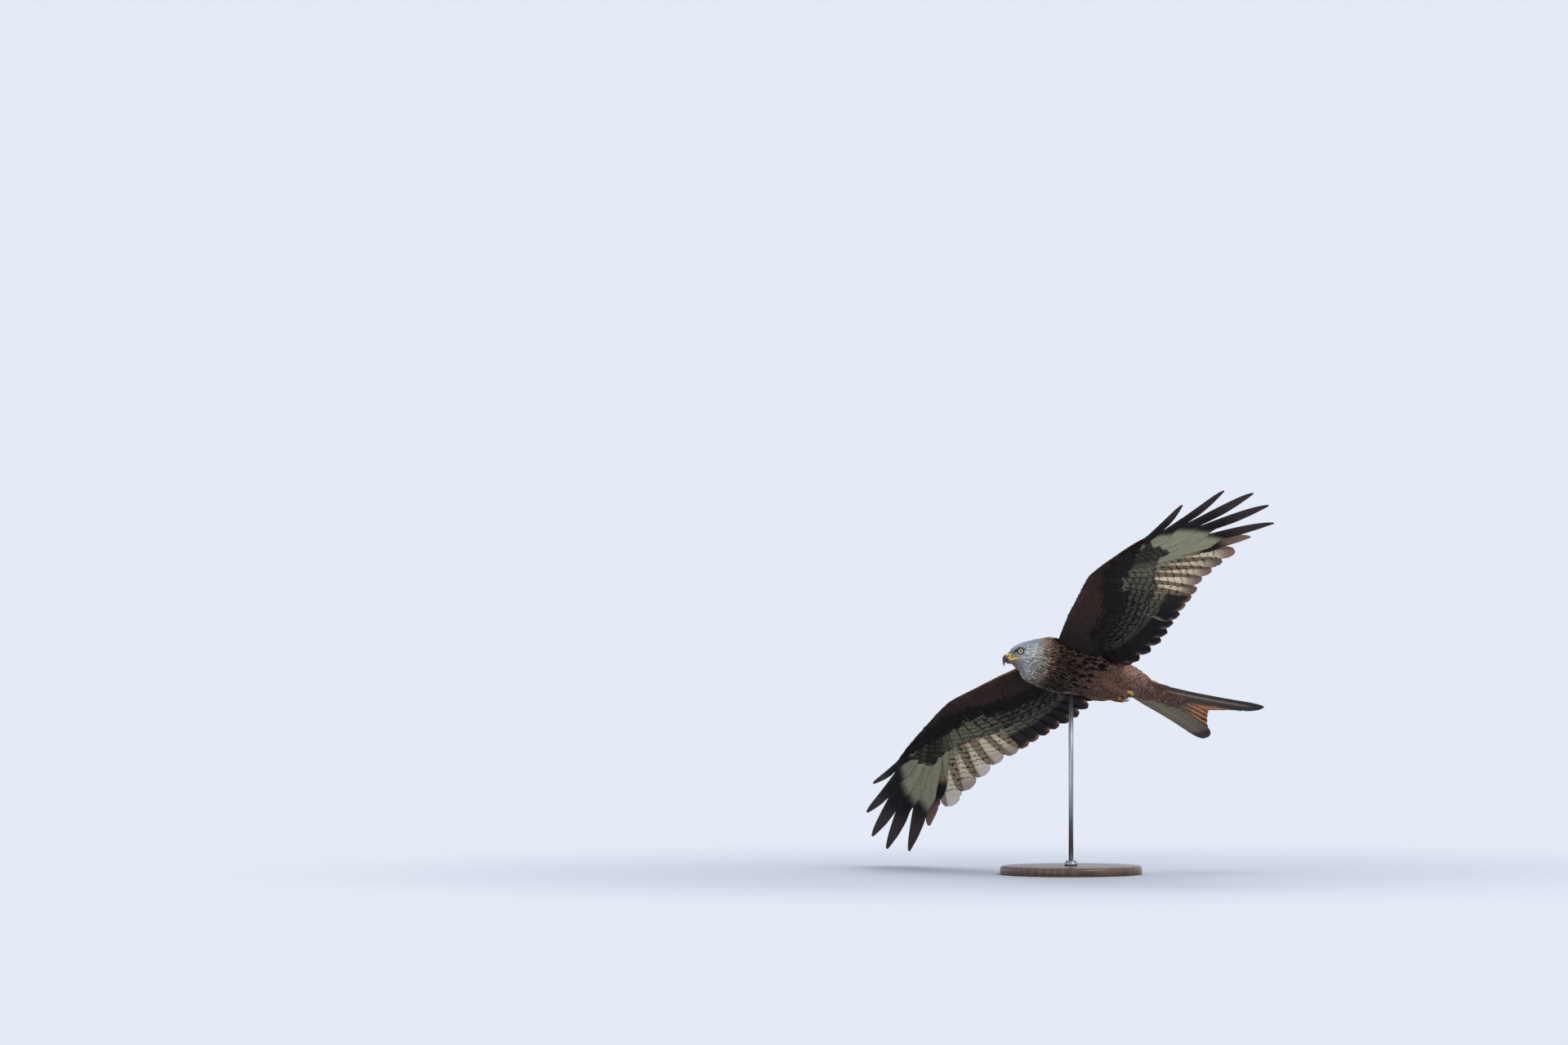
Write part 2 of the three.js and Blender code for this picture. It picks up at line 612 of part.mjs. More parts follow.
const nape = [1, 0, 0];
const beyondHead = headAxis.dot(inHead(HEAD_PLANE, 0, 0));
add("torso", largest(body.trimByPlane([-1, 0, 0], -NECK_PLANE + CUT).subtract(socket)), "rufous");
add("neck", largest(body.trimByPlane(nape, NECK_PLANE + CUT).trimByPlane(headAxis.clone().negate().toArray(),
  -beyondHead + CUT)), "grey");
const head = headSolids();
add("head", head.skull, "grey");
add("cere", head.cere, "yellow");
add("bill_upper", head.upper, "horn");
add("bill_lower", head.lower, "horn");
for (const [name, side] of mirrored) {
  add(`eye_${name}`, head.eyes[name], "iris");
  const { arm, hand } = wing(side);
  add(`wing_${name}_arm`, arm, "dark");
  add(`wing_${name}_hand`, hand, "dark");
  add(`leg_${name}`, leg(side), "rufous");
  add(`foot_${name}`, foot(side), "yellow");
  for (let i = 0; i < 4; i++) add(`talon_${name}_${i + 1}`, talon(side, i), "horn");
}
add("tail", tail(), "tail");

const stand = new THREE.Group();
const disc = new THREE.LatheGeometry(
  [[0, 0], [BASE_RADIUS, 0], [BASE_RADIUS, BASE_THICK - 4], [BASE_RADIUS - 4, BASE_THICK], [0, BASE_THICK]].map(
    ([r, z]) => new THREE.Vector2(r, z),
  ),
  48,
).rotateX(Math.PI / 2);
const hole = rod(vec(0, 0, BASE_THICK - ROD_SUNK - GAP), vec(0, 0, BASE_THICK + 5), ROD_RADIUS + GAP, 20);
stand.add(meshOf("stand_base", solidOf(disc).subtract(hole), materials.wood));
const post = rod(vec(0, 0, BASE_THICK - ROD_SUNK), vec(0, 0, HEIGHT - 40 - GAP), ROD_RADIUS, 20);
stand.add(meshOf("stand_rod", post, materials.steel));

const ring = [[ROD_RADIUS + GAP, 0], [14, 0], [14, 5], [10, 11], [ROD_RADIUS + GAP, 11], [ROD_RADIUS + GAP, 0]];
const collar = new THREE.LatheGeometry(ring.map(([r, z]) => new THREE.Vector2(r, z)), 20).rotateX(Math.PI / 2);
collar.translate(0, 0, BASE_THICK + GAP);
stand.add(meshOf("stand_collar", solidOf(collar), materials.steel));

const root = new THREE.Group();
root.add(kite, stand);
export default root;
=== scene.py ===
"""A life-size red kite in a banked glide on its display stand: plumage, bare parts, stand, light and camera.

Lengths are millimetres in the bird's own frame (x forward, y left, z up, from the middle of the trunk)
until to_world() tips the bird into its bank and turns them into metres.
"""

import math

import bmesh
import bpy
import numpy as np
from mathutils import Matrix, Vector


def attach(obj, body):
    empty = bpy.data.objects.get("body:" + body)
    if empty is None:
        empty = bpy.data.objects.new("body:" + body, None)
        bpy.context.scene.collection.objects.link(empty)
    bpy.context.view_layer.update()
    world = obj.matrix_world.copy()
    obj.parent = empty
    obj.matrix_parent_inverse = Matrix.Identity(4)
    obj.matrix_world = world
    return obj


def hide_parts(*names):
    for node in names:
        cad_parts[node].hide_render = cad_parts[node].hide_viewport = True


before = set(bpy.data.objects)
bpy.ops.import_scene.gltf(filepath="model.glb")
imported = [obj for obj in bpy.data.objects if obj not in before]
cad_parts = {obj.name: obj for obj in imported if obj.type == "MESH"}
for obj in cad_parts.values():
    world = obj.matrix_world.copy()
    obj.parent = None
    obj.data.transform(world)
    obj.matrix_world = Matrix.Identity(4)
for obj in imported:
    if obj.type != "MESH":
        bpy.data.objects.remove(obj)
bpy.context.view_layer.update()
rng = np.random.default_rng(11)

# Attitude on the stand
PITCH, BANK = 14.8, 32
MIDDLE = np.array([4, 2, 440])

# Trunk stations: x, height of the middle, half width, half height
TRUNK = [(-196, 3, 20, 12), (-180, 2, 29, 21), (-150, 1, 38, 32), (-120, -3, 43, 39), (-79, -4, 48, 44),
         (-18, -6, 54, 50), (30, -11, 55, 52), (63, -8, 54, 53), (84, -11, 50, 48), (101, -12, 43, 43)]
# Head: its own frame, and stations forward, middle height, half width, reach up, reach down
HEAD_AT = (129.2, 0.4, -5.2)
HEAD_YAW, HEAD_PITCH, HEAD_ROLL = -26, 4, -20
HEAD = [(-16, -7, 27, 31, 50), (-7, -5, 22, 27, 43), (3, -4, 18.5, 22, 35), (11, -4, 14.5, 18.5, 27),
        (16, -4.5, 11.6, 15, 19.5), (19.5, -5.5, 8.8, 12, 14.5)]
EYE_RADIUS = 8
EYE_AT = (-2, 13.6, 0)
EYE_GAZE = 0.3  # how far the eyes look forward, against their look to the side
EYE_OPEN = 5.7  # the lids' opening, from its middle
MOUTH = -14.6

# Wing
SECONDARIES, PRIMARIES = 12, 10
FLIGHT = SECONDARIES + PRIMARIES
WRIST, ELBOW, HAND_END = (117, 272), (45, 170), (126, 386)
SECONDARY_LENGTH = [(1, 221), (3, 204), (5, 194), (9, 192), (12, 174)]
SECONDARY_SPLAY = [(1, 27), (3, 16), (5, 3), (7, -10), (9, -28), (12, -38)]
PRIMARY_LENGTH = [227, 243, 265, 296, 342, 408, 415, 392, 326, 216]
PRIMARY_SPLAY = [35.5, 43.5, 51, 57.5, 62.5, 66.2, 71.5, 75.6, 79.7, 85.4]
BOW = [(4, 5), (6, 1.6)]
SAG = [(5, 0), (6, 7), (9, 7), (10, 3)]
NOTCH = [(5, 0.64), (6, 0.58), (8, 0.5), (10, 0.34)]
FAN_AT = (150, 255)
SHINGLE = 1
LEADING_X = [(25, 52), (50, 60), (95, 76), (140, 91), (209, 110), (250, 122), (272, 127), (308, 129),
             (401, 129), (440, 126), (470, 121)]
ARM_CHORD = [(25, 112), (95, 104), (170, 98), (230, 86), (270, 74), (308, 62), (350, 46), (401, 28),
             (440, 15), (470, 8)]
ARM_THICK = [(25, 38), (60, 32), (95, 27), (140, 22), (209, 18), (270, 16), (308, 14), (350, 12.5), (401, 10),
             (440, 6.5), (470, 3.5)]
ARM_PROFILE = [(0, 0), (0.02, 0.2), (0.05, 0.3), (0.12, 0.43), (0.2, 0.5), (0.35, 0.49), (0.5, 0.46),
               (0.8, 0.33), (1, 0.2), (1.12, 0.05), (1.2, 0)]
WING_RISE = [(25, 6), (81, 9), (150, 13), (270, 17), (330, 14), (400, 8), (480, -1), (600, -9.5), (740, -18)]
WING_TWIST = [(25, 0.1), (270, 0.1), (400, 0.05), (480, 0.07), (600, 0.3), (740, 0.6)]

# Tail
TAIL_ROOT = (-150, 0, -2.4)
TAIL_YAW, TAIL_LIFT, TAIL_ROLL = 10.9, 5.2, -4.7
TAIL_LENGTH = [238, 246, 257, 272, 293, 321]
TAIL_SPLAY = [1, 3.1, 5.2, 7.4, 9.8, 12.3]
TAIL_BASE, TAIL_STEP, TAIL_WIDTH = 22, 0.95, 44
TAIL_PAIRS = len(TAIL_LENGTH)
TAIL_COUNT = 2 * TAIL_PAIRS
TAIL_STEM = [(0, 24, 17), (-46, 27, 16), (-66, 27, 12.5), (-90, 26, 8), (-115, 22, 3)]

# Feet
FOOT_AT = (-121, 15, -37.9)
TOE_LENGTH = (20, 27, 22)
TOE_SPREAD = 4.2
TALON_LENGTH, TALON_ARC = 11.5, 52
THIGH = [(-44, 27, -27, 6), (-70, 25, -35, 11.5), (-94, 19, -38.5, 9.5), (-108, 15.5, -39, 5.5)]

# Skin: its voxels in metres, and how deep it lies under the arm's surface
SKIN_VOXEL = 0.0014
ARM_INSET = 1.6

# Stand
BASE_RADIUS, BASE_THICK, ROD_RADIUS, ROD_TOP = 150, 18, 5, 399.7


# The photo's view: its size, the bird's middle in it, its scale, and the ways back and to the right
PHOTO_WIDTH, PHOTO_HEIGHT = 1920, 1279
BIRD_PX = (1310, 815)
PX_PER_MM = 0.58
VIEW_BACK, VIEW_RIGHT = (0.5028, 0.8634, 0.0351), (-0.864, 0.503, 0)
CAMERA_DISTANCE, SENSOR = 90.0, 36
FLOOR_RADIUS = 2000


def rotation(axis, degrees):
    return np.array(Matrix.Rotation(math.radians(degrees), 3, axis))


UP = np.array([0.0, 0, 1])
ATTITUDE = rotation("Y", -PITCH) @ rotation("X", BANK)
HEAD_TURN = rotation("Z", HEAD_YAW) @ rotation("Y", HEAD_PITCH) @ rotation("X", HEAD_ROLL)
TAIL_TURN = rotation("Z", TAIL_YAW) @ rotation("Y", TAIL_LIFT) @ rotation("X", TAIL_ROLL)


def to_world(p):
    return (np.asarray(p, float) @ ATTITUDE.T + MIDDLE) / 1000


def in_head(p):
    return np.asarray(p, float) @ HEAD_TURN.T + HEAD_AT


def from_head(p):
    return (np.asarray(p, float) - HEAD_AT) @ HEAD_TURN


def in_tail(p):
    return np.asarray(p, float) @ TAIL_TURN.T + TAIL_ROOT


def paint(*rgb):
    """An sRGB colour from 0 to 255 as linear light"""
    c = np.array(rgb, float) / 255
    return np.where(c <= 0.04045, c / 12.92, ((c + 0.055) / 1.055) ** 2.4)


def along(pairs, at):
    xs, ys = zip(*pairs)
    return np.interp(at, xs, ys)


def ramp(stops, at):
    """Reads a table of (place, colour) stops"""
    xs = [s[0] for s in stops]
    colours = np.array([paint(*s[1]) for s in stops])
    return np.stack([np.interp(at, xs, colours[:, i]) for i in range(3)], -1)


def smooth(t):
    t = np.clip(t, 0, 1)
    return t * t * (3 - 2 * t)


def between(a, b, t):
    return a + (b - a) * t


def mixed(a, b, t):
    """Between two colours, with a share for each point"""
    return between(a, b, np.asarray(t)[..., None])


def each(values):
    """One value for each feather, ready for its grid of rows and columns"""
    return np.asarray(values)[:, None, None]


def pack(*parts):
    """Values or grids side by side in a last direction of their own"""
    return np.stack(np.broadcast_arrays(*parts), -1)


def turns(count):
    """Angles evenly round a circle"""
    return np.arange(count) / count * 2 * np.pi


def circle(a, u, v):
    """The points of a unit circle across the directions u and v, at angles a"""
    return np.cos(a)[:, None] * u + np.sin(a)[:, None] * v


def unit(v):
    return v / np.maximum(np.linalg.norm(v, axis=-1, keepdims=True), 1e-9)


def spline(at, values, wanted):
    """A smooth curve through values given at rising places"""
    at, values = np.asarray(at, float), np.asarray(values, float)
    slope = np.gradient(values, at, axis=0)
    i = np.clip(np.searchsorted(at, wanted) - 1, 0, len(at) - 2)
    h = at[i + 1] - at[i]
    t = np.clip((wanted - at[i]) / h, 0, 1)
    shape = (-1,) + (1,) * (values.ndim - 1)
    t, h = t.reshape(shape), h.reshape(shape)
    a, b, ma, mb = values[i], values[i + 1], slope[i] * h, slope[i + 1] * h
    start, end = (2 * t**3 - 3 * t**2 + 1) * a, (3 * t**2 - 2 * t**3) * b
    return start + (t**3 - 2 * t**2 + t) * ma + end + (t**3 - t**2) * mb


# Meshes
def mesh_object(name, points, faces, material, body_frame=True):
    """An object from points and faces, in the bird's frame or in the stand's"""
    placed = to_world(points) if body_frame else np.asarray(points, float) / 1000
    mesh = bpy.data.meshes.new(name)
    sizes = [len(f) for f in faces] if isinstance(faces, list) else [faces.shape[1]] * len(faces)
    flat = np.concatenate([np.asarray(f) for f in faces]) if isinstance(faces, list) else faces.ravel()
    mesh.vertices.add(len(placed))
    mesh.vertices.foreach_set("co", placed.astype(np.float32).ravel())
    mesh.loops.add(len(flat))
    mesh.loops.foreach_set("vertex_index", flat.astype(np.int32))
    mesh.polygons.add(len(sizes))
    mesh.polygons.foreach_set("loop_start", np.concatenate([[0], np.cumsum(sizes)[:-1]]).astype(np.int32))
    mesh.update(calc_edges=True)
    mesh.polygons.foreach_set("use_smooth", np.ones(len(sizes), bool))
    mesh.materials.append(material)
    obj = bpy.data.objects.new(name, mesh)
    bpy.context.scene.collection.objects.link(obj)
    return obj


def attribute(mesh, name, values, kind="FLOAT_VECTOR"):
    values = np.asarray(values, np.float32)
    if kind == "FLOAT_COLOR":
        values = np.concatenate([values, np.ones((len(values), 1), np.float32)], 1)
    layer = mesh.attributes.new(name, kind, "POINT")
    layer.data.foreach_set("color" if kind == "FLOAT_COLOR" else "vector", values.ravel())


def bake_map(mesh, uv):
    layer = mesh.uv_layers.new(name="OFBake")
    corner = np.zeros(len(mesh.loops), np.int32)
    mesh.loops.foreach_get("vertex_index", corner)
    layer.data.foreach_set("uv", np.asarray(uv, np.float32)[corner].ravel())


def ring_quads(rows, sides, steps):
    """Quads from each ring to the next, over so many steps"""
    return [[r * sides + i, r * sides + (i + 1) % sides, (r + 1) % rows * sides + (i + 1) % sides,
             (r + 1) % rows * sides + i] for r in range(steps) for i in range(sides)]


def loft_faces(rows, sides):
    """Faces of a closed loft: quads along it, and one face at each end"""
    return ring_quads(rows, sides, rows - 1) + [list(range(sides))[::-1],
                                                [(rows - 1) * sides + i for i in range(sides)]]


def outward(obj):
    """Turns the faces outward"""
    bm = bmesh.new()
    bm.from_mesh(obj.data)
    bmesh.ops.recalc_face_normals(bm, faces=bm.faces)
    bm.to_mesh(obj.data)
    bm.free()
    return obj


def loft(name, rings, material, **place):
    rings = np.asarray(rings, float)
    return outward(mesh_object(name, rings.reshape(-1, 3), loft_faces(*rings.shape[:2]), material, **place))


def tube_rings(line, radii, sides=16, flat=1.0):
    """Circles across a line, each with its radius; flat squeezes them in their second direction"""
    line = np.asarray(line, float)
    ahead = unit(np.gradient(line, axis=0))
    side = np.cross(ahead[0], line[-1] - line[0])
    side = side if np.linalg.norm(side) > 1e-2 else np.cross(line[-1] - line[0], (0.1, 0.2, 1))
    u = unit(side - (ahead @ side)[:, None] * ahead)
    v = np.cross(ahead, u)
    r = each(np.broadcast_to(np.asarray(radii, float), len(line)))
    return line[:, None] + r * circle(turns(sides), u[:, None], flat * v[:, None])


def topology(rows, cols, lens):
    """One blade's vertices as (side, row, column), and its quads. A lens has one shared rim, a plate two."""
    ids = np.zeros((2, rows, cols), int)
    where = []
    for side in (0, 1):
        for r in range(rows):
            for c in range(cols):
                if side and lens and (r in (0, rows - 1) or c in (0, cols - 1)):
                    ids[1, r, c] = ids[0, r, c]
                else:
                    ids[side, r, c] = len(where)
                    where.append((side, r, c))
    quads = []
    for r in range(rows - 1):
        for c in range(cols - 1):
            quads.append([ids[0, r, c], ids[0, r, c + 1], ids[0, r + 1, c + 1], ids[0, r + 1, c]])
            quads.append([ids[1, r, c], ids[1, r + 1, c], ids[1, r + 1, c + 1], ids[1, r, c + 1]])
    if not lens:
        rim = [(r, 0) for r in range(rows)] + [(rows - 1, c) for c in range(1, cols)]
        rim += [(r, cols - 1) for r in range(rows - 2, -1, -1)] + [(0, c) for c in range(cols - 2, 0, -1)]
        for (ra, ca), (rb, cb) in zip(rim, rim[1:] + rim[:1]):
            quads.append([ids[0, ra, ca], ids[0, rb, cb], ids[1, rb, cb], ids[1, ra, ca]])
    return np.array(where), np.array(quads)


COLOURS = ("hue", "ink", "rim")  # the looks that are colours


def ride(obj, slot, *replaced):
    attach(obj, "root")
    if replaced:
        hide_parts(*replaced)


class Coat:
    """Feathers gathered into joined meshes of one material, under 200,000 triangles each"""

    LIMIT = 190_000

    def __init__(self, name, material):
        self.name, self.material = name, material
        self.parts = []

    def add(self, mid, up, half, looks, uv, lens=True):
        """mid and up are points and normals for (feather, row, column, 3), and half is the half thickness.
        looks are values by name for (feather, side, row, column, 3), and uv is for (feather, side, row,
        column, 2). A size of 1 in them stands for all."""
        n, rows, cols, _ = mid.shape
        where, quads = topology(rows, cols, lens)
        side, r, c = where.T
        half = np.broadcast_to(half, mid.shape[:3]).copy()
        if lens:
            half[:, [0, -1]] = 0
            half[:, :, [0, -1]] = 0
        points = mid[:, r, c] + ((1 - 2 * side) * half[:, r, c])[..., None] * up[:, r, c]
        full = {k: np.broadcast_to(v, (n, 2, rows, cols, 3))[:, side, r, c] for k, v in looks.items()}
        flat_uv = np.broadcast_to(uv, (n, 2, rows, cols, 2))[:, side, r, c]
        step = max(1, self.LIMIT // (2 * len(quads)))
        for at in range(0, n, step):
            self.parts.append((points[at : at + step], quads, {k: v[at : at + step] for k, v in full.items()},
                               flat_uv[at : at + step]))

    def add_turned(self, turned, *grids, **more):
        """Adds feathers, where turned with their columns the other way round, so that they face outward"""
        self.add(*(flipped(*grids) if turned else grids), **more)

    def finish(self, slot, *replaced):
        """Joins the parts into as few pieces as the limit allows"""
        groups, held = [[]], 0
        for part in self.parts:
            tris = 2 * len(part[1]) * len(part[0])
            if held + tris > self.LIMIT and groups[-1]:
                groups.append([])
                held = 0
            groups[-1].append(part)
            held += tris
        for i, group in enumerate(groups):
            name = self.name if len(groups) == 1 else f"{self.name}_{i + 1}"
            points, faces, start = [], [], 0
            for p, quads, _, _ in group:
                n, count = p.shape[:2]
                points.append(p.reshape(-1, 3))
                faces.append((quads[None] + each(start + np.arange(n) * count)).reshape(-1, 4))
                start += n * count
            obj = mesh_object(name, np.concatenate(points), np.concatenate(faces), self.material)
            for key in group[0][2]:
                values = np.concatenate([g[2][key].reshape(-1, 3) for g in group])
                attribute(obj.data, key, values, "FLOAT_COLOR" if key in COLOURS else "FLOAT_VECTOR")
            bake_map(obj.data, np.concatenate([g[3].reshape(-1, 2) for g in group]))
            ride(obj, slot, *replaced)


# Materials
class Shader:
    """A principled material with a few short ways to wire nodes"""

    def __init__(self, name, **sockets):
        self.material = bpy.data.materials.new(name)
        self.material.use_nodes = True
        self.nodes, self.links = self.material.node_tree.nodes, self.material.node_tree.links
        self.nodes.clear()
        self.bsdf = self.nodes.new("ShaderNodeBsdfPrincipled")
        out = self.nodes.new("ShaderNodeOutputMaterial")
        self.links.new(self.bsdf.outputs[0], out.inputs[0])
        for key, value in sockets.items():
            self.bsdf.inputs[key.replace("_", " ")].default_value = value

    def node(self, kind, **values):
        made = self.nodes.new("ShaderNode" + kind)
        for key, value in values.items():
            setattr(made, key, value)
        return made

    def put(self, socket, value):
        if isinstance(value, bpy.types.NodeSocket):
            self.links.new(value, socket)
        elif value is not None:
            socket.default_value = (*value, 1) if socket.type == "RGBA" and len(value) == 3 else value

    def math(self, operation, a, b=None, c=None):
        made = self.node("Math", operation=operation)
        for socket, value in zip(made.inputs, (a, b, c)):
            self.put(socket, value)
        return made.outputs[0]

    def times(self, a, b):
        return self.math("MULTIPLY", a, b)

    def step(self, value, low, high, to=(0, 1)):
        made = self.node("MapRange", interpolation_type="SMOOTHSTEP")
        for socket, v in zip(made.inputs, (value, low, high, *to)):
            self.put(socket, v)
        return made.outputs[0]

    def mix(self, share, a, b, blend="MIX"):
        made = self.node("Mix", data_type="RGBA", blend_type=blend)
        self.put(made.inputs[0], share)
        self.put(made.inputs[6], a)
        self.put(made.inputs[7], b)
        return made.outputs[2]

    def read(self, name):
        return self.node("Attribute", attribute_name=name)

    def split(self, vector):
        made = self.node("SeparateXYZ")
        self.put(made.inputs[0], vector)
        return made.outputs

    def join(self, x, y, z):
        made = self.node("CombineXYZ")
        for socket, value in zip(made.inputs, (x, y, z)):
            self.put(socket, value)
        return made.outputs[0]

    def noise(self, vector, scale, detail=3, rough=0.5):
        made = self.node("TexNoise")
        for key, value in (("Vector", vector), ("Scale", scale), ("Detail", detail), ("Roughness", rough)):
            self.put(made.inputs[key], value)
        return made.outputs[0]

    def bump(self, height, strength, distance):
        made = self.node("Bump")
        for key, value in (("Strength", strength), ("Distance", distance), ("Height", height)):
            self.put(made.inputs[key], value)
        self.links.new(made.outputs[0], self.bsdf.inputs["Normal"])

    def colour(self, value):
        self.put(self.bsdf.inputs["Base Color"], value)

    def place(self):
        return self.node("TexCoord").outputs["Object"]


def feather_waves(s):
    """Barbs, soft clouds and cross bars along a feather's own coordinates"""
    across, share, seed = s.split(s.read("vane").outputs["Vector"])
    length, half, spacing = s.split(s.read("size").outputs["Vector"])
    bars, narrow, dark_edge = s.split(s.read("cross").outputs["Vector"])
    off = s.math("ABSOLUTE", across)
    mm_along = s.times(share, length)
    mm_off = s.times(off, half)
    slant = s.math("SUBTRACT", mm_along, s.times(mm_off, 0.9))
    barb_at = s.join(s.times(slant, 1.1), s.times(mm_off, 0.1), s.times(seed, 97))
    barbs = s.noise(barb_at, 1.0, 2, 0.6)
    cloud_at = s.join(s.times(mm_along, 0.06), s.times(mm_off, 0.08), s.times(seed, 31))
    cloud = s.noise(cloud_at, 1.6, 2)
    wander = s.math("MULTIPLY_ADD", cloud, 1.3, s.times(seed, 0.35))
    slid = s.math("SUBTRACT", mm_along, s.times(mm_off, 0.12))
    phase = s.math("ADD", s.math("DIVIDE", slid, spacing), wander)
    wave = s.math("COSINE", s.times(phase, 2 * math.pi))
    bar = s.times(s.step(wave, narrow, s.math("ADD", narrow, 0.22)), bars)
    outline = s.times(s.step(off, 0.62, 0.92), dark_edge)
    return share, off, barbs, cloud, s.math("MAXIMUM", bar, outline)


def shaded(s, tone, barbs, cloud):
    shade = s.math("MULTIPLY_ADD", barbs, 0.5, s.math("MULTIPLY_ADD", cloud, 0.5, 0.52))
    s.colour(s.mix(1.0, tone, s.join(shade, shade, shade), "MULTIPLY"))


def soft_material():
    """Contour feathers and coverts. The attributes it reads, three values each, beside the colours:
    vane = across from -1 to 1, share of the length, seed; size = length, half width, bar spacing in mm;
    mark = the streak's half width, the fringe's strength, where the fringe starts;
    cross = the bars' strength, how narrow they are, the dark edge's strength."""
    s = Shader("feather_soft", Roughness=0.88, Specular_IOR_Level=0.06, Sheen_Weight=0.03)
    streak, fringe, start = s.split(s.read("mark").outputs["Vector"])
    share, off, barbs, cloud, dark = feather_waves(s)
    swell = s.math("POWER", s.math("SINE", s.times(s.math("POWER", share, 0.75), math.pi)), 0.6)
    wavering = s.math("MULTIPLY_ADD", barbs, 0.3, 0.85)
    reach = s.times(s.times(streak, swell), wavering)
    core = s.step(s.math("SUBTRACT", off, reach), 0.08, -0.08)
    ends = s.math("MAXIMUM", off, s.math("MULTIPLY_ADD", share, 2.2, -1.2))
    ragged = s.math("MULTIPLY_ADD", barbs, 0.14, ends)
    edge = s.times(s.step(ragged, start, s.math("ADD", start, 0.24)), fringe)
    tone = s.mix(edge, s.read("hue").outputs["Color"], s.read("rim").outputs["Color"])
    tone = s.mix(s.math("MAXIMUM", core, dark), tone, s.read("ink").outputs["Color"])
    shaded(s, tone, barbs, cloud)
    s.bump(barbs, 0.5, 0.0006)
    return s.material


def stiff_material():
    """Flight and tail feathers, with painted backlight. Where a vane lies over its inner neighbour it takes
    its own hue, the darker double layer, and elsewhere the paler rim colour of a single layer with painted
    light shining through it; the neighbour's shaft and edge show through as painted shadow lines. layer = mm
    in front of the neighbour's shaft, mm inside its edge, how strong the painted shadow lines are."""
    s = Shader("feather_stiff", Roughness=0.6, Specular_IOR_Level=0.14)
    ahead, inside, fringe = s.split(s.read("layer").outputs["Vector"])
    _, _, barbs, cloud, dark = feather_waves(s)
    # Painted backlight: where the vane lies over its neighbour it is the darker double layer, elsewhere the
    # paler single layer
    double_layer_shade = s.times(s.step(ahead, -0.4, 0.6), s.step(inside, -0.4, 0.8))
    # Painted shadow lines: the neighbour's shaft and edge seen through the vane
    shaft = s.times(s.step(s.math("ABSOLUTE", ahead), 1.1, 0.4), s.step(inside, 0.2, 1.2))
    outline = s.times(s.step(s.math("ABSOLUTE", inside), 1.0, 0.3), s.step(ahead, 0.5, 2))
    tone = s.mix(double_layer_shade, s.read("rim").outputs["Color"], s.read("hue").outputs["Color"])
    strength = s.times(dark, s.math("MULTIPLY_ADD", double_layer_shade, 0.3, 0.7))
    shadow_lines = s.times(s.math("MAXIMUM", shaft, s.times(outline, 0.4)), fringe)
    tone = s.mix(s.math("MAXIMUM", strength, shadow_lines), tone, s.read("ink").outputs["Color"])
    shaded(s, tone, barbs, cloud)
    s.bump(barbs, 0.5, 0.0005)
    return s.material


SOFT = soft_material()
STIFF = stiff_material()


# Surface of the trunk, neck and head
class Surface:
    """Rings of points 1 mm apart along a limb, read anywhere between them"""

    def __init__(self, centres, rings):
        step = np.linalg.norm(np.diff(centres, axis=0), axis=1)
        at = np.concatenate([[0], np.cumsum(step)])
        self.length = at[-1]
        self.points = spline(at, rings, np.arange(0, self.length, 1.0))
        ahead = np.gradient(self.points, axis=0)
        around = np.roll(self.points, -1, 1) - np.roll(self.points, 1, 1)
        self.normals = unit(np.cross(around, ahead))
        middle = self.points.mean(1, keepdims=True)
        if ((self.points - middle) * self.normals).sum() < 0:
            self.normals = -self.normals
        self.girth = np.linalg.norm(np.diff(self.points, axis=1), axis=2).sum(1)

    def read(self, grid, u, v):
        rows, sides = grid.shape[:2]
        u = np.clip(u, 0, rows - 1.001)
        v = (v % 1) * sides
        i, j = u.astype(int), v.astype(int) % sides
        f, g = (u - i)[..., None], (v - np.floor(v))[..., None]
        k = (j + 1) % sides
        near = grid[i, j] * (1 - f) + grid[i + 1, j] * f
        far = grid[i, k] * (1 - f) + grid[i + 1, k] * f
        return near * (1 - g) + far * g

    def at(self, u, v):
        return self.read(self.points, u, v), unit(self.read(self.normals, u, v))

    def girth_at(self, u):
        return self.girth[np.clip(np.asarray(u).astype(int), 0, len(self.girth) - 1)]

    def below(self, u, v, back, sideways, least=0):
        """Points and normals under feathers rooted at u, v, which reach so many mm back and sideways"""
        return self.at(each(u) - back, each(v) + sideways / np.maximum(each(self.girth_at(u)), least))


SIDES = 192


def body_stations():
    a = turns(SIDES)
    s, c = np.sin(a), np.cos(a)
    rings, centres = [], []
    for x, z, w, h in TRUNK:
        rings.append(pack(x, s * w, z + c * h))
        centres.append((x, 0, z))
    for x, z, w, up, down in HEAD:
        narrow = np.where(c > 0, 1, 1 - 0.28 * c * c)
        rings.append(in_head(pack(x, s * w * narrow, z + c * np.where(c > 0, up, down))))
        centres.append(in_head((x, 0, z)))
    return np.array(centres, float), np.array(rings)


def face_forms(p, n):
    """Raises the brow over each eye and the cheek, and sinks the skin round the eye and before it"""
    h = from_head(p)
    side = np.abs(h[..., 1])
    on_side = smooth((side - 9) / 5)
    brow = 2.4 * np.exp(-(((h[..., 0] - 1) / 9) ** 2) - ((h[..., 2] - 8.3 - 0.12 * h[..., 0]) / 2.6) ** 2)
    socket = -1.5 * np.exp(-((np.hypot(h[..., 0], h[..., 2]) - 6.5) / 3.4) ** 2) * (h[..., 2] < 6)
    lore = -1.5 * np.exp(-(((h[..., 0] - 12) / 4.5) ** 2) - ((h[..., 2] + 2) / 5) ** 2)
    cheek = 1.2 * np.exp(-(((h[..., 0] + 2) / 8) ** 2) - ((h[..., 2] + 19) / 6) ** 2)
    return p + n * ((brow + socket + lore + cheek) * on_side)[..., None]


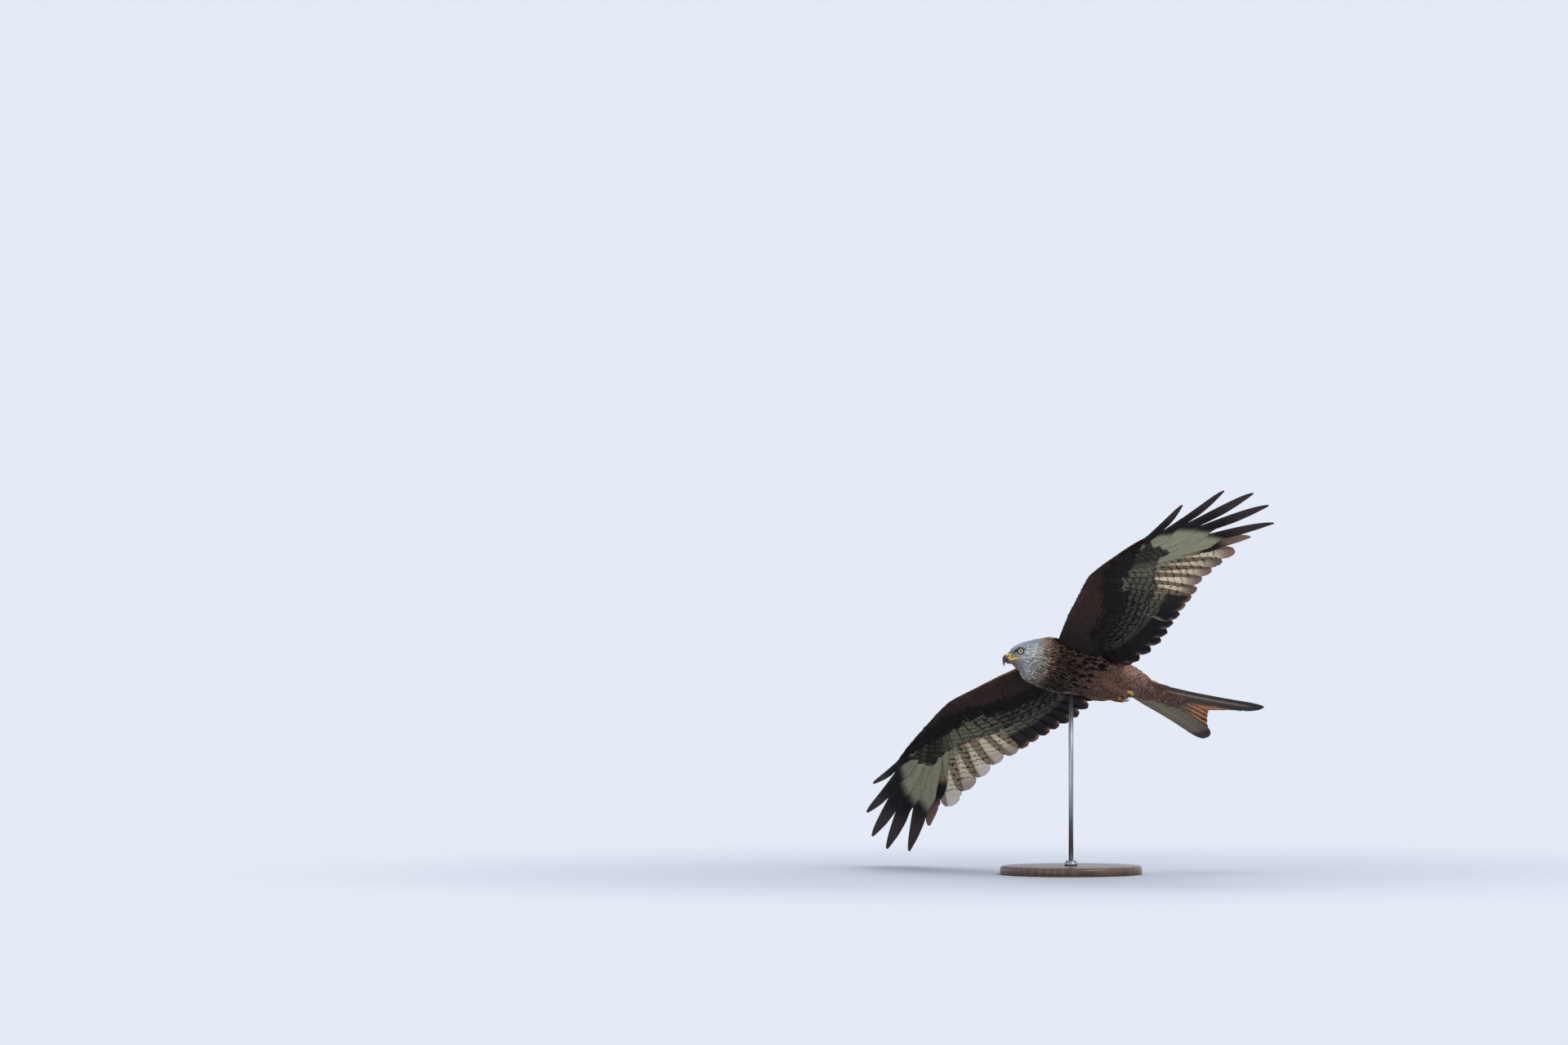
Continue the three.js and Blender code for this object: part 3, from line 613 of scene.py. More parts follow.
body = Surface(*body_stations())
body.points = face_forms(body.points, body.normals)
FACE_AT = body.length  # how far along the body the face's front is


def coat_depth(behind):
    """How deep the coat is, by distance behind the face's front"""
    return along([(0, 0.8), (14, 1.1), (40, 2.4), (70, 4.5), (110, 6), (330, 5)], behind)


# Colours of the head, neck and trunk by distance behind the face's front: below, at the sides and above
BELOW = [(0, (104, 104, 78)), (10, (116, 118, 108)), (24, (142, 145, 142)), (42, (142, 140, 132)),
         (56, (100, 92, 82)), (72, (50, 43, 38)), (100, (54, 44, 38)), (132, (84, 64, 55)),
         (170, (98, 72, 62)), (225, (100, 74, 63)), (280, (112, 84, 73)), (345, (104, 76, 66))]
CHEEK = [(0, (112, 118, 108)), (12, (152, 158, 155)), (24, (190, 194, 195)), (34, (186, 187, 185)),
         (44, (162, 146, 130)), (56, (138, 108, 90)), (90, (118, 89, 75)), (150, (108, 81, 69)),
         (345, (114, 86, 74))]
ABOVE = [(0, (168, 179, 198)), (16, (166, 175, 194)), (38, (158, 164, 176)), (50, (164, 142, 124)),
         (62, (188, 130, 90)), (85, (150, 98, 66)), (120, (118, 78, 55)), (250, (122, 80, 56)),
         (345, (172, 104, 66))]
STREAKS_BELOW = [(0, 0.12), (15, 0.26), (40, 0.4), (60, 0.5), (110, 0.44), (150, 0.22), (200, 0.06), (345, 0)]
STREAKS_ABOVE = [(0, 0.16), (20, 0.2), (34, 0.3), (60, 0.34), (90, 0.5), (160, 0.58), (260, 0.5), (345, 0.15)]
INK = [(0, (84, 90, 98)), (26, (106, 110, 118)), (50, (98, 92, 88)), (66, (32, 26, 25)), (345, (22, 17, 16))]
# Directions in the bird's frame that place the painted highlight along the lower outline of the throat and
# breast
FROM_LEFT, LOW_RIGHT = np.array([0.495, 0.682, -0.538]), np.array([0, -0.619, -0.785])
# Painted shadow under the brow, as circles from the lore over the eye: forward, height and radius in the
# head's frame
BROW_SHADOW = [(13.5, -1, 2.2), (10, 1.4, 3), (6.5, 4, 3), (2, 6.8, 3.4), (-3, 6.8, 3), (-7, 4.8, 2.2)]


def behind_face(p):
    """Distance behind the face's front of any point on the body, in mm"""
    h = from_head(p)
    on_head = HEAD[-1][0] - h[..., 0]
    trunk = FACE_AT - (p[..., 0] - TRUNK[0][0])
    return between(on_head, trunk, smooth((100 - p[..., 0]) / 30))


def body_tone(p, behind):
    """Ground colour of the body's coat at points of it, with the brow's painted shadow, and how far they are
    on its upper side
    """
    h = from_head(p)
    crown = smooth((h[..., 2] - 4) / 9)
    side_head = smooth((h[..., 2] + 26) / 16)
    crown_trunk = smooth((p[..., 2] + 4) / 40)
    side_trunk = smooth((p[..., 2] + 34) / 30)
    back = smooth((behind - 42) / 30)
    above, beside = between(crown, crown_trunk, back), between(side_head, side_trunk, back)
    tone = mixed(mixed(ramp(BELOW, behind), ramp(CHEEK, behind), beside), ramp(ABOVE, behind), above)
    # Painted shadow under the brow: a dark band from the lore over the eye
    dark = np.zeros(h.shape[:-1])
    for bx, bz, r in BROW_SHADOW:
        dark = np.maximum(dark, smooth((1.5 - np.hypot(h[..., 0] - bx, h[..., 2] - bz) / r) / 0.8))
    tone = mixed(tone, paint(30, 31, 38), 0.95 * dark * (behind < 45))
    olive = np.exp(-(((h[..., 0] - 9) / 8) ** 2) - ((h[..., 2] + 9) / 2.6) ** 2) * (behind < 45)
    tone = mixed(tone, paint(140, 138, 96), 0.7 * olive)
    # Buff at the flank behind the wing
    flank = np.exp(-(((p[..., 0] + 118) / 34) ** 2)) * smooth((np.abs(p[..., 1]) - 14) / 20)
    flank = flank * smooth((40 - p[..., 2]) / 20) * smooth((p[..., 2] + 26) / 16)
    return mixed(tone, paint(150, 116, 101), 0.8 * flank), above


def body_uv(u, v):
    return pack(v % 1 * 0.98 + 0.01, u / FACE_AT * 0.98 + 0.01)


def patch_uv(root, across, share):
    """A patch 0.003 across at each feather's root, for (feather, 1, row, column)"""
    patch = 0.003 * pack(0.5 * across + 0.5, share)
    return root[:, None, None, None, :] + patch[:, None]


def blade_looks(across, share, hue, ink, rim, mark, size, cross=(0, 0.5, 0)):
    """The values that the soft feather material reads. Colours are one row, or a row to each feather. The
    others are three values, each one or one to each feather. size = length, half width, bars' spacing."""
    seed = rng.random(len(across))

    def spread(v):
        v = pack(*v, seed)[:, :3] if isinstance(v, tuple) else v
        return np.broadcast_to(v, (len(seed), 3))[:, None, None, None, :]

    return {"hue": spread(hue), "ink": spread(ink), "rim": spread(rim),
            "vane": pack(across, share, each(seed))[:, None], "mark": spread(mark), "size": spread(size),
            "cross": spread(cross)}


CONTOUR = [(0, 0.35), (0.2, 0.72), (0.5, 1), (0.78, 0.95), (0.92, 0.66), (1, 0.24)]
HACKLE = [(0, 0.5), (0.3, 1), (0.6, 0.82), (0.85, 0.42), (1, 0.06)]


def contour_grid(n, rows, cols, pointed):
    """Shares along and across small feathers, their widths, and ragged ends"""
    share = np.linspace(0, 1, rows)[None, :, None]
    across = np.linspace(-1, 1, cols)[None, None, :] * np.ones((n, rows, 1))
    width = between(along(CONTOUR, share), along(HACKLE, share), each(pointed))
    ragged = 1 + share**3 * rng.uniform(-0.1, 0.07, (n, 1, cols)) - 0.08 * (share * across) ** 2
    return share * np.ones_like(across), across, width, share * ragged


def body_coat():
    coat = Coat("body_plumage", SOFT)
    row_gap = [(0, 1.3), (14, 1.6), (45, 2.6), (75, 3.8), (110, 5.2), (345, 5.8)]
    col_gap = [(0, 1.3), (14, 1.7), (45, 2.5), (75, 3.4), (110, 5.4), (345, 6.2)]
    u_all, v_all = [], []
    behind, odd = 1.0, 0
    while behind < FACE_AT - 6:
        u = FACE_AT - behind
        n = int(body.girth_at(u) / along(col_gap, behind))
        u_all.append(np.full(n, u))
        v_all.append((np.arange(n) + 0.5 * odd) / n)
        odd = 1 - odd
        behind += along(row_gap, behind)
    u, v = np.concatenate(u_all), np.concatenate(v_all)
    behind = FACE_AT - u
    gap = along(row_gap, behind)
    u = u + rng.normal(0, 0.22, len(u)) * gap
    v = v + rng.normal(0, 0.2, len(v)) * along(col_gap, behind) / body.girth_at(u)
    root, _ = body.at(u, v)
    length = along([(0, 4), (14, 5.5), (28, 8.5), (40, 13), (60, 20), (85, 25), (120, 30), (345, 34)], behind)
    length *= rng.uniform(0.86, 1.14, len(u))
    half = along([(0, 1.1), (14, 1.5), (45, 2.3), (75, 3.2), (110, 6.2), (345, 8)], behind)
    half *= rng.uniform(0.9, 1.1, len(u))
    # Feathers before the eye stop short of it
    h = from_head(root)
    near = (np.abs(h[:, 1]) > 8) & (behind < 45)
    final, fits = length.copy(), np.zeros(len(u), bool)
    for cut in (1.0, 0.7, 0.45):
        tip = from_head(body.at(u - length * cut, v)[0])
        clear = [np.hypot(q[:, 0] - 0.3, q[:, 2]) > EYE_OPEN + 0.9 for q in (h, (h + tip) / 2, tip)]
        newly = ~fits & (~near | np.all(clear, axis=0))
        final[newly] = length[newly] * cut
        fits |= newly
    # None in the mouth line
    keep = fits & ~((np.abs(h[:, 2] - MOUTH) < 0.9) & (h[:, 0] > 0) & (behind < 30))
    u, v, behind, length, half = (a[keep] for a in (u, v, behind, final, half))
    n = len(u)
    tone, above = body_tone(body.at(u - 0.5 * length * (behind < 45), v)[0], behind)
    pointed = along([(0, 0.4), (30, 0.8), (60, 1), (95, 0.75), (120, 0.15), (345, 0)], behind)
    share, across, width, reach = contour_grid(n, 6, 5, pointed)
    swirl = each(rng.normal(0, 0.1, n) * length) * share
    points, normals = body.below(u, v, each(length) * reach, across * width * each(half) + swirl)
    depth = each(coat_depth(behind))
    lift = each(rng.uniform(-0.25, 0.25, n)) * depth
    rise = -depth * 1.25 + (depth * 1.25 + lift) * share**0.75
    cup = 0.16 * width * each(half) * across**2 * share
    points = points + normals * (rise - cup)[..., None]
    thick = each(np.minimum(0.22, 0.06 * half)) * (1 - 0.5 * share)
    # Markings
    streak = between(along(STREAKS_BELOW, behind), along(STREAKS_ABOVE, behind), above)
    vary = rng.normal(1, np.where(behind < 50, 0.15, 0.1)[:, None])
    hue = tone * vary
    # White and dark hackles mixed from the cheek back to the neck
    kind = rng.random(n)
    hackle = smooth((behind - 12) / 16) * smooth((76 - behind) / 12) * (1 - smooth((above - 0.5) / 0.4))
    pale = ramp([(12, (218, 223, 226)), (24, (220, 223, 223)), (42, (214, 206, 190)), (56, (202, 168, 140)),
                 (76, (156, 120, 98))], behind)
    hue = mixed(hue, pale, 0.9 * hackle * (kind < 0.34))
    hue = mixed(hue, ramp(INK, behind), 0.6 * hackle * (kind > 0.72))
    # A painted highlight: a pale line along the right of the throat and breast, where the coat's underside
    # turns away from the view
    facing, low = normals.mean((1, 2)) @ FROM_LEFT, normals.mean((1, 2)) @ LOW_RIGHT
    silhouette_highlight = smooth((0.26 - np.abs(facing - 0.02)) / 0.16) * (low > 0.3)
    silhouette_highlight = silhouette_highlight * smooth((behind - 14) / 10) * smooth((170 - behind) / 60)
    hue = mixed(hue, paint(186, 180, 162), 0.85 * silhouette_highlight)
    rim_light = mixed(hue * 1.5, paint(180, 130, 94) * vary, np.where(behind > 60, 0.3 + 0.6 * above, 0))
    fringe = np.where(behind > 60, 0.3 + 0.4 * above, 0.4)
    mark = (streak * (1 - silhouette_highlight), fringe, 0.7)
    coat.add(points, normals, thick, blade_looks(across, share, hue, ramp(INK, behind), rim_light, mark,
                                                 (length, half, 20)), patch_uv(body_uv(u, v), across, share))
    streaked_feathers(coat)
    coat.finish("body_plumage")


def streaked_feathers(coat):
    """Larger feathers of the breast and flanks, each with a black core, lying on the others"""
    u_all, v_all = [], []
    for i, behind in enumerate([50, 64, 79, 96, 115, 135, 155, 176, 197, 218]):
        u = FACE_AT - behind
        n = int(body.girth_at(u) / along([(50, 6.5), (75, 9), (100, 12), (215, 15)], behind))
        u_all.append(u + rng.normal(0, 1.6, n))
        v_all.append((np.arange(n) + 0.5 * (i % 2) + rng.normal(0, 0.13, n)) / n)
    u, v = np.concatenate(u_all), np.concatenate(v_all)
    root, _ = body.at(u, v)
    behind = FACE_AT - u
    tone, above = body_tone(root, behind)
    low = smooth((-24 - root[:, 2]) / 12)
    chance = between(along([(50, 0.8), (80, 1), (140, 0.95), (195, 0.8), (225, 0.2)], behind),
                    along([(50, 0.7), (80, 1), (120, 0.9), (150, 0.3), (170, 0)], behind), low)
    keep = (rng.random(len(u)) < chance) & ~((np.abs(root[:, 1]) < 7) & (root[:, 2] < 0))
    u, v, behind, root, tone, above = (a[keep] for a in (u, v, behind, root, tone, above))
    n = len(u)
    length = along([(46, 18), (75, 27), (100, 36), (215, 38)], behind) * rng.uniform(0.85, 1.15, n)
    half = along([(46, 2.4), (75, 4), (100, 5), (215, 4.8)], behind) * rng.uniform(0.85, 1.15, n)
    share, across, width, reach = contour_grid(n, 9, 7, along([(50, 1), (80, 0.7), (115, 0.4)], behind))
    sideways = across * width * each(half) + each(rng.normal(0, 2.4, n)) * share
    points, normals = body.below(u, v, each(length) * reach, sideways)
    depth = each(coat_depth(behind))
    rise = -0.9 * depth + (1.25 * depth + each(rng.uniform(0.1, 0.5, n))) * share**0.55
    points = points + normals * (rise - 0.13 * width * each(half) * across**2)[..., None]
    core = along([(50, 0.45), (75, 0.85), (100, 1.2)], behind)
    core = core * rng.uniform(0.75, 1.2, n) * between(1, 0.8, above)
    rim = mixed(tone, paint(168, 128, 104), 0.6 + 0 * behind) * rng.normal(1, 0.12, (n, 1))
    looks = blade_looks(across, share, tone, jitter(paint(17, 14, 15), n), rim, (core, 0.8, 0.68),
                        (length, half, 20))
    coat.add(points, normals, 0.2 * (1 - 0.5 * share), looks, patch_uv(body_uv(u, v), across, share))


# Wing surface
def wing_height(x, y):
    y = np.asarray(y, float)
    rise = np.mean([along(WING_RISE, y + d) for d in (-14, -7, 0, 7, 14)], axis=0)
    twist = np.mean([along(WING_TWIST, y + d) for d in (-14, -7, 0, 7, 14)], axis=0)
    arm = 1 - smooth((y - 330) / 170)
    return rise + twist * x + 6 * arm * (1 - (x / 125) ** 2)


def arm_half(x, y, up):
    """Half thickness of the arm at a place in plan"""
    share = (along(LEADING_X, y) - x) / along(ARM_CHORD, y)
    half = along(ARM_PROFILE, share) * along(ARM_THICK, y) * np.where(up > 0, 1.05, 0.95)
    return half * smooth((478 - y) / 10)


def quill_table():
    """Base, length, splay and bend of each flight feather, from the body to the tip"""
    rows = []
    for k in range(FLIGHT):
        if k < SECONDARIES:
            j = SECONDARIES - k
            t = (j - 0.5) / 9
            share, beyond = min(t, 1), max(0, t - 1)
            rows.append((WRIST[0] + (ELBOW[0] - WRIST[0]) * share - 10 * beyond,
                         WRIST[1] + (ELBOW[1] - WRIST[1]) * share - 110 * beyond,
                         along(SECONDARY_LENGTH, j), along(SECONDARY_SPLAY, j), 5))
        else:
            i = k - SECONDARIES
            t = (i + 0.4) / (PRIMARIES - 0.6)
            rows.append((WRIST[0] + (HAND_END[0] - WRIST[0]) * t, WRIST[1] + (HAND_END[1] - WRIST[1]) * t,
                         PRIMARY_LENGTH[i], PRIMARY_SPLAY[i], along(BOW, i + 1)))
    return np.array(rows, float).T


Q_X, Q_Y, Q_LENGTH, Q_SPLAY, Q_BEND = quill_table()
ALL_K = np.arange(FLIGHT)


def of_quill(values, k):
    return np.interp(k, ALL_K, values)


def on_quill(k, s):
    """A point in plan on quill k, which may lie between two feathers"""
    a = np.radians(of_quill(Q_SPLAY, k) + of_quill(Q_BEND, k) * (0.5 - s))
    length = of_quill(Q_LENGTH, k)
    return of_quill(Q_X, k) - length * s * np.cos(a), of_quill(Q_Y, k) + length * s * np.sin(a)


TIP_ANGLE = np.arctan2(on_quill(ALL_K, 1.0)[1] - FAN_AT[1], FAN_AT[0] - on_quill(ALL_K, 1.0)[0])


def order(x, y):
    return np.interp(np.arctan2(y - FAN_AT[1], FAN_AT[0] - x), TIP_ANGLE, ALL_K)


def rounded(s, start):
    return np.where(s > start, np.sqrt(np.clip(1 - ((s - start) / (1.006 - start)) ** 2, 0, 1)), 1)


def pointed(s, start):
    return np.where(s > start, 1 - (np.clip(s - start, 0, 1) / (1.02 - start)) ** 1.7, 1)


def webs(k, s, slim=0):
    """Widths of the leading and the trailing web of feather k at share s"""
    grown = 0.4 + 0.6 * smooth(s / 0.3)
    number = k - SECONDARIES + 1
    slim = slim * (number > 5)
    if k < SECONDARIES:
        return 15 * grown * rounded(s, 0.88), 33 * grown * rounded(s, 0.85)
    finger = smooth((s - along(NOTCH, number) + 0.05 * slim) / 0.16) if number >= 5 else 0 * s
    broad = along([(1, 34), (6, 38), (8, 34), (10, 19)], number)
    narrow = along([(5, 28), (6, 25.5), (8, 21), (10, 12)], number) * (1 - 0.26 * slim * (number < 10))
    lead = along([(1, 17), (4, 14), (5, 8), (6, 4), (10, 4)], number)
    end = pointed(s, 0.71) if number >= 5 else rounded(s, 0.84)
    return lead * grown * rounded(s, 0.88), (broad + (narrow - broad) * finger) * grown * end


# Colours of the flight feathers. Those given for each wing side are darker on the raised left wing (1) as
# painted shade. The cream, the pale tip and the wedge are a single-layer vane with painted light shining
# through it, and the tan is the darker double layer over a neighbour.
BLACK, SPOT = (17, 15, 16), (75, 76, 65)
FINGER = {1: (46, 39, 39), -1: (58, 48, 46)}
WINDOW, BACKLIT_CREAM, BACKLIT_TIP = (136, 134, 109), (212, 198, 166), (208, 198, 188)
TAN = {1: (120, 97, 75), -1: (140, 119, 94)}
BACKLIT_WEDGE = {1: (128, 94, 80), -1: (164, 120, 96)}


def flight_tone_below(side, k, s, across):
    """Under flight feather k at share s: its colours over its neighbour, the darker double layer, and where
    it is a single layer, paler with painted light shining through it, and its bars' strength and narrowness.
    The raised left wing is painted darker, as shade."""
    number = k - SECONDARIES + 1
    if k <= 10:
        start = along([(0, 0.6), (4, 0.68), (8, 0.75), (10, 0.72)], k)
        spot = ramp([(0, (62, 62, 50)), (7, SPOT), (9, (92, 90, 72)), (10, (112, 108, 84))], k + 0 * s)
        # The raised left wing's spots are painted darker, as shade
        spot = spot * (0.76 if side > 0 else 0.94)
        tone = mixed(spot, paint(*BLACK), smooth((s - start) / 0.05) * (0.94 if k > 8 else 1))
        tone = mixed(tone, paint(112, 88, 70) if k > 8 else paint(60, 46, 42), smooth((s - 0.95) / 0.04))
        # A paler wedge at the trailing web's tip, where the vane is a single layer: painted light shining
        # through it
        backlit_wedge = smooth((s - 0.92) / 0.06) * smooth((-across - 0.3) / 0.3) * along([(0, 0.4), (4, 1)], k)
        tone = mixed(tone, paint(*BACKLIT_WEDGE[side]), backlit_wedge)
        if side > 0 and k == 8:
            tone = mixed(tone, paint(150, 140, 128),
                         smooth((-across - 0.84) / 0.08) * smooth((s - 0.62) / 0.1))
        return tone, tone, 0.95 * (1 - smooth((s - start) / 0.03)), 0.3 if k > 8 else 0.05
    if number <= 4:
        grey = along([(9, 0.3), (12, 0.34), (15, 0.42)], k)
        # Painted backlight: the double layer over the neighbour is darker, the single layer paler. Toward the
        # tips both darken, on the raised left wing more as painted shade, while the right wing's single-layer
        # tips stay pale as painted light.
        worn = paint(104, 82, 70) if side > 0 else paint(*TAN[side])
        over = ramp([(0, WINDOW), (grey, WINDOW), (grey + 0.14, TAN[side])], s)
        over = mixed(over, worn, smooth((s - 0.75) / 0.15))
        single_layer_backlit = ramp([(0, WINDOW), (grey, WINDOW), (grey + 0.16, BACKLIT_CREAM), (0.8, BACKLIT_CREAM)], s)
        tip = paint(*BACKLIT_TIP) if side < 0 else paint(132, 104, 90)
        tip_share = along([(0, 0.3), (1, 0.6), (2, 0.85), (3, 0.35), (4, 0.9)], number)
        single_layer_backlit = mixed(single_layer_backlit, mixed(worn, tip, tip_share), smooth((s - 0.78) / 0.18))
        single_layer_backlit = mixed(single_layer_backlit, over, smooth((across + 0.06) / 0.1))
        strength = smooth((s - grey + 0.06) / 0.08) * (1 - smooth((s - 0.86) / 0.05))
        return over, single_layer_backlit, strength, 0.7
    if number == 5:
        tone = ramp([(0, WINDOW), (0.48, WINDOW), (0.58, (132, 112, 86)), (0.64, BLACK), (0.76, BLACK),
                     (0.82, (104, 82, 72)), (1, (124, 96, 84))], s)
        return tone, tone, 0 * s, 0.7
    edge = along([(6, 0.6), (7, 0.52), (8, 0.46), (9, 0.39), (10, 0.31)], number)
    slant = s + 0.13 * np.minimum(across, 0) * (number < 10)
    tone = ramp([(0, WINDOW), (edge - 0.04, WINDOW), (edge + 0.03, BLACK)], slant)
    # The fingers' ends turn brown-grey, darker on the raised left wing as painted shade
    tone = mixed(tone, paint(*FINGER[side]), smooth((s - 0.66) / 0.2))
    return tone, tone, 0 * s, 0.7


def flight_tone_above(k, s):
    """Upper side of flight feather k at share s, and its bars' strength"""
    if k < SECONDARIES:
        bars, stops = 0.45, [(0, (78, 62, 52)), (0.6, (66, 54, 48)), (0.92, (44, 38, 36)), (1, (120, 92, 72))]
    elif k < SECONDARIES + 4:
        bars, stops = 0.4, [(0, (96, 78, 64)), (0.6, (84, 68, 58)), (0.95, (52, 46, 44)), (1, (120, 100, 86))]
    else:
        bars, stops = 0, [(0, (70, 60, 54)), (0.4, (44, 40, 40)), (1, (28, 26, 28))]
    return ramp(stops, s), bars + 0 * s


def over_neighbour(x, y, k):
    """How far points in plan are in front of the shaft of the feather inside k, and how far inside its
    edge"""
    if k == 0:
        return np.full(x.shape, -9.0), np.full(x.shape, -9.0)
    s = np.linspace(0, 1, 176)
    nx, ny = on_quill(k - 1, s)
    ax, ay = on_quill(k - 1, s + 0.01)
    turn = np.arctan2(ay - ny, ax - nx)
    near = np.argmin((x[..., None] - nx) ** 2 + (y[..., None] - ny) ** 2, -1)
    dx, dy, a = x - nx[near], y - ny[near], turn[near]
    ahead = dx * np.sin(a) - dy * np.cos(a) + 3
    beyond = dx * np.cos(a) + dy * np.sin(a)
    lead = webs(k - 1, s)[0][near] + 3
    return ahead, np.where(near == len(s) - 1, np.minimum(lead - ahead, -beyond), lead - ahead)


ROWS = 52
SHARES = np.concatenate([np.linspace(0.02, 0.8, ROWS - 16),
                         1 - 0.2 * np.cos(np.linspace(0.12, 1, 16) * np.pi / 2) ** 1.3])
LEAD_COLS = np.array([1, 0.72, 0.42])
TRAIL_COLS = np.array([0.12, 0.3, 0.5, 0.7, 0.87, 1])


def vane_offsets(lead, trail, shaft):
    """Offsets of a vane's columns from its shaft, from the leading edge to the trailing edge"""
    return pack(*[lead * c for c in LEAD_COLS], shaft, 0, -shaft, *[-trail * c for c in TRAIL_COLS])


SHAFT = len(LEAD_COLS) + 1  # the column that runs along the shaft


def upper_lower(upper, lower):
    """Three values for the upper face and three for the lower one"""
    return np.stack([pack(*upper), pack(*lower)])[None]


def add_stiff(coat, side, number, count, mid, up, shaft_rise, looks, across, s):
    """Adds one flight or tail feather: thin webs, a raised shaft, and a strip of the bake map to each face"""
    half = np.full(across.shape, 0.16)
    half[:, SHAFT] = 0.16 + shaft_rise * (1 - 0.85 * s)
    half[:, [SHAFT - 1, SHAFT + 1]] = 0.2
    half[:, [0, -1]] = 0.08
    place = 0.4 * (across + 1) / 2
    strip = (number + np.stack([0.05 + place, 0.55 + place])) / count
    uv = pack(strip, 0.02 + 0.96 * s[:, None])[None]
    coat.add_turned(side < 0, mid, np.broadcast_to(up, mid.shape), half[None], looks, uv, lens=False)


def frayed(n_rows, n_cols, count):
    """Small splits in the webs: how far each edge point is drawn in, as a share"""
    cut = np.zeros((n_rows, n_cols))
    for row in rng.integers(int(n_rows * 0.45), n_rows - 4, count):
        side = rng.random() < 0.75
        depth = rng.uniform(0.03, 0.12)
        columns = range(n_cols - 3, n_cols) if side else range(0, 2)
        for c in columns:
            cut[row, c] += depth * (0.4 if c in (n_cols - 3, 1) else 1)
    return cut


def flight_feathers(side, name):
    coat = Coat(f"flight_feathers_{name}", STIFF)
    for k in range(FLIGHT):
        s = SHARES
        primary = k >= SECONDARIES
        number = k - SECONDARIES + 1
        here, ahead = on_quill(k, s), on_quill(k, s + 0.01)
        turn = np.arctan2(ahead[1] - here[1], ahead[0] - here[0])
        lead, trail = webs(k, s, slim=max(side, 0))
        lead, trail = np.maximum(lead, 0.25), np.maximum(trail, 0.4)
        shaft = np.minimum(1.5 * (1 - 0.85 * s) + 0.25, lead * 0.38)
        off = vane_offsets(lead, trail, shaft)
        off = off * (1 - frayed(len(s), off.shape[1], 0 if number >= 6 else 4))
        off[:, -2:] *= 1 + 0.008 * np.sin(s * 60 + k)[:, None]
        x = here[0][:, None] + off * np.sin(turn)[:, None]
        y = here[1][:, None] - off * np.cos(turn)[:, None]
        sag = along(SAG, number) if primary else 0
        hang = sag * np.sin(np.pi * np.clip((s - 0.3) / 0.7, 0, 1))
        z = wing_height(x, y) - hang[:, None] + SHINGLE * (order(x, y) - k)
        across = np.where(off >= 0, off / lead.max(), off / trail.max())
        z = z - 0.5 * smooth(-across) * (s[:, None] > 0.1)
        mid = pack(x, side * y, z)[None]
        share = np.broadcast_to(s[:, None], off.shape)
        # Darker double layer and paler single layer below, painted as light shining through the vanes
        over, single_layer_backlit, bars, narrow = flight_tone_below(side, k, share, across)
        above, above_bars = flight_tone_above(k, share)
        shaft_mask = np.zeros(off.shape)
        shaft_mask[:, SHAFT] = 0.6
        shaft_tone = paint(70, 60, 50) if k > 8 else paint(44, 40, 38)
        over, single_layer_backlit = (mixed(c, shaft_tone, shaft_mask) for c in (over, single_layer_backlit))
        above = mixed(above, paint(34, 28, 26), shaft_mask)
        worn = rng.normal(1, 0.06)
        in_front, inside = over_neighbour(x, y, k)
        # How strong the painted shadow lines of the neighbour's shaft and edge are
        shadow_lines = 0.75 if 9 <= k <= SECONDARIES + 4 else 0.3
        spacing = along([(0, 12), (8, 12), (9, 14), (14, 16), (21, 18)], k)
        looks = {"hue": np.stack([above, over])[None] * worn, "rim": np.stack([above, single_layer_backlit])[None] * worn,
                 "ink": paint(26, 22, 22),
                 "layer": upper_lower((0 * off - 9, -9, 0), (in_front, inside, shadow_lines)),
                 "cross": upper_lower((above_bars, 0.5, 0), (bars, narrow, 0)),
                 "vane": pack(across, share, 0.5 + 0.012 * k)[None, None],
                 "size": np.array([Q_LENGTH[k], trail.max(), spacing])}
        add_stiff(coat, side, k, FLIGHT, mid, UP, 0.9, looks, across, s)
    coat.finish("wing_plumage", f"wing_{name}_hand")


def flipped(mid, up, half, looks, uv):
    """The same grid with its columns the other way round, so that a mirrored feather's faces point outward"""
    turned = {}
    for key, value in looks.items():
        value = np.asarray(value)
        turned[key] = value[..., ::-1, :] if value.ndim == 5 and value.shape[3] > 1 else value
    return mid[:, :, ::-1], up[:, :, ::-1], half[:, :, ::-1], turned, uv[..., ::-1, :]


# Coverts, placed in plan on the wing
def under_tone(x, y):
    """Ground colour of the coverts below, by place in plan, with a painted highlight along the leading edge
    """
    lead = along(LEADING_X, y)
    back = lead - x
    brown_to = along([(25, 96), (60, 80), (140, 66), (187, 56), (230, 40), (270, 24), (300, 11), (330, 5),
                      (470, 1)], y)
    wobble = 4 * np.sin(y * 0.13) + 3 * np.sin(y * 0.31 + x * 0.05)
    brown = ramp([(25, (24, 19, 18)), (70, (36, 28, 25)), (140, (56, 41, 36)), (230, (60, 43, 38)),
                  (300, (48, 35, 32)), (400, (30, 25, 26))], y)
    brown = mixed(brown, paint(*BLACK), smooth((y - 385) / 30))
    # A pinkish painted highlight along the leading edge
    leading_edge_highlight = smooth((7 - back) / 6) * smooth((y - 60) / 60) * smooth((400 - y) / 80)
    brown = mixed(brown, paint(132, 92, 80), 0.75 * leading_edge_highlight)
    return mixed(brown, paint(*BLACK), smooth((back + wobble - brown_to) / 10))


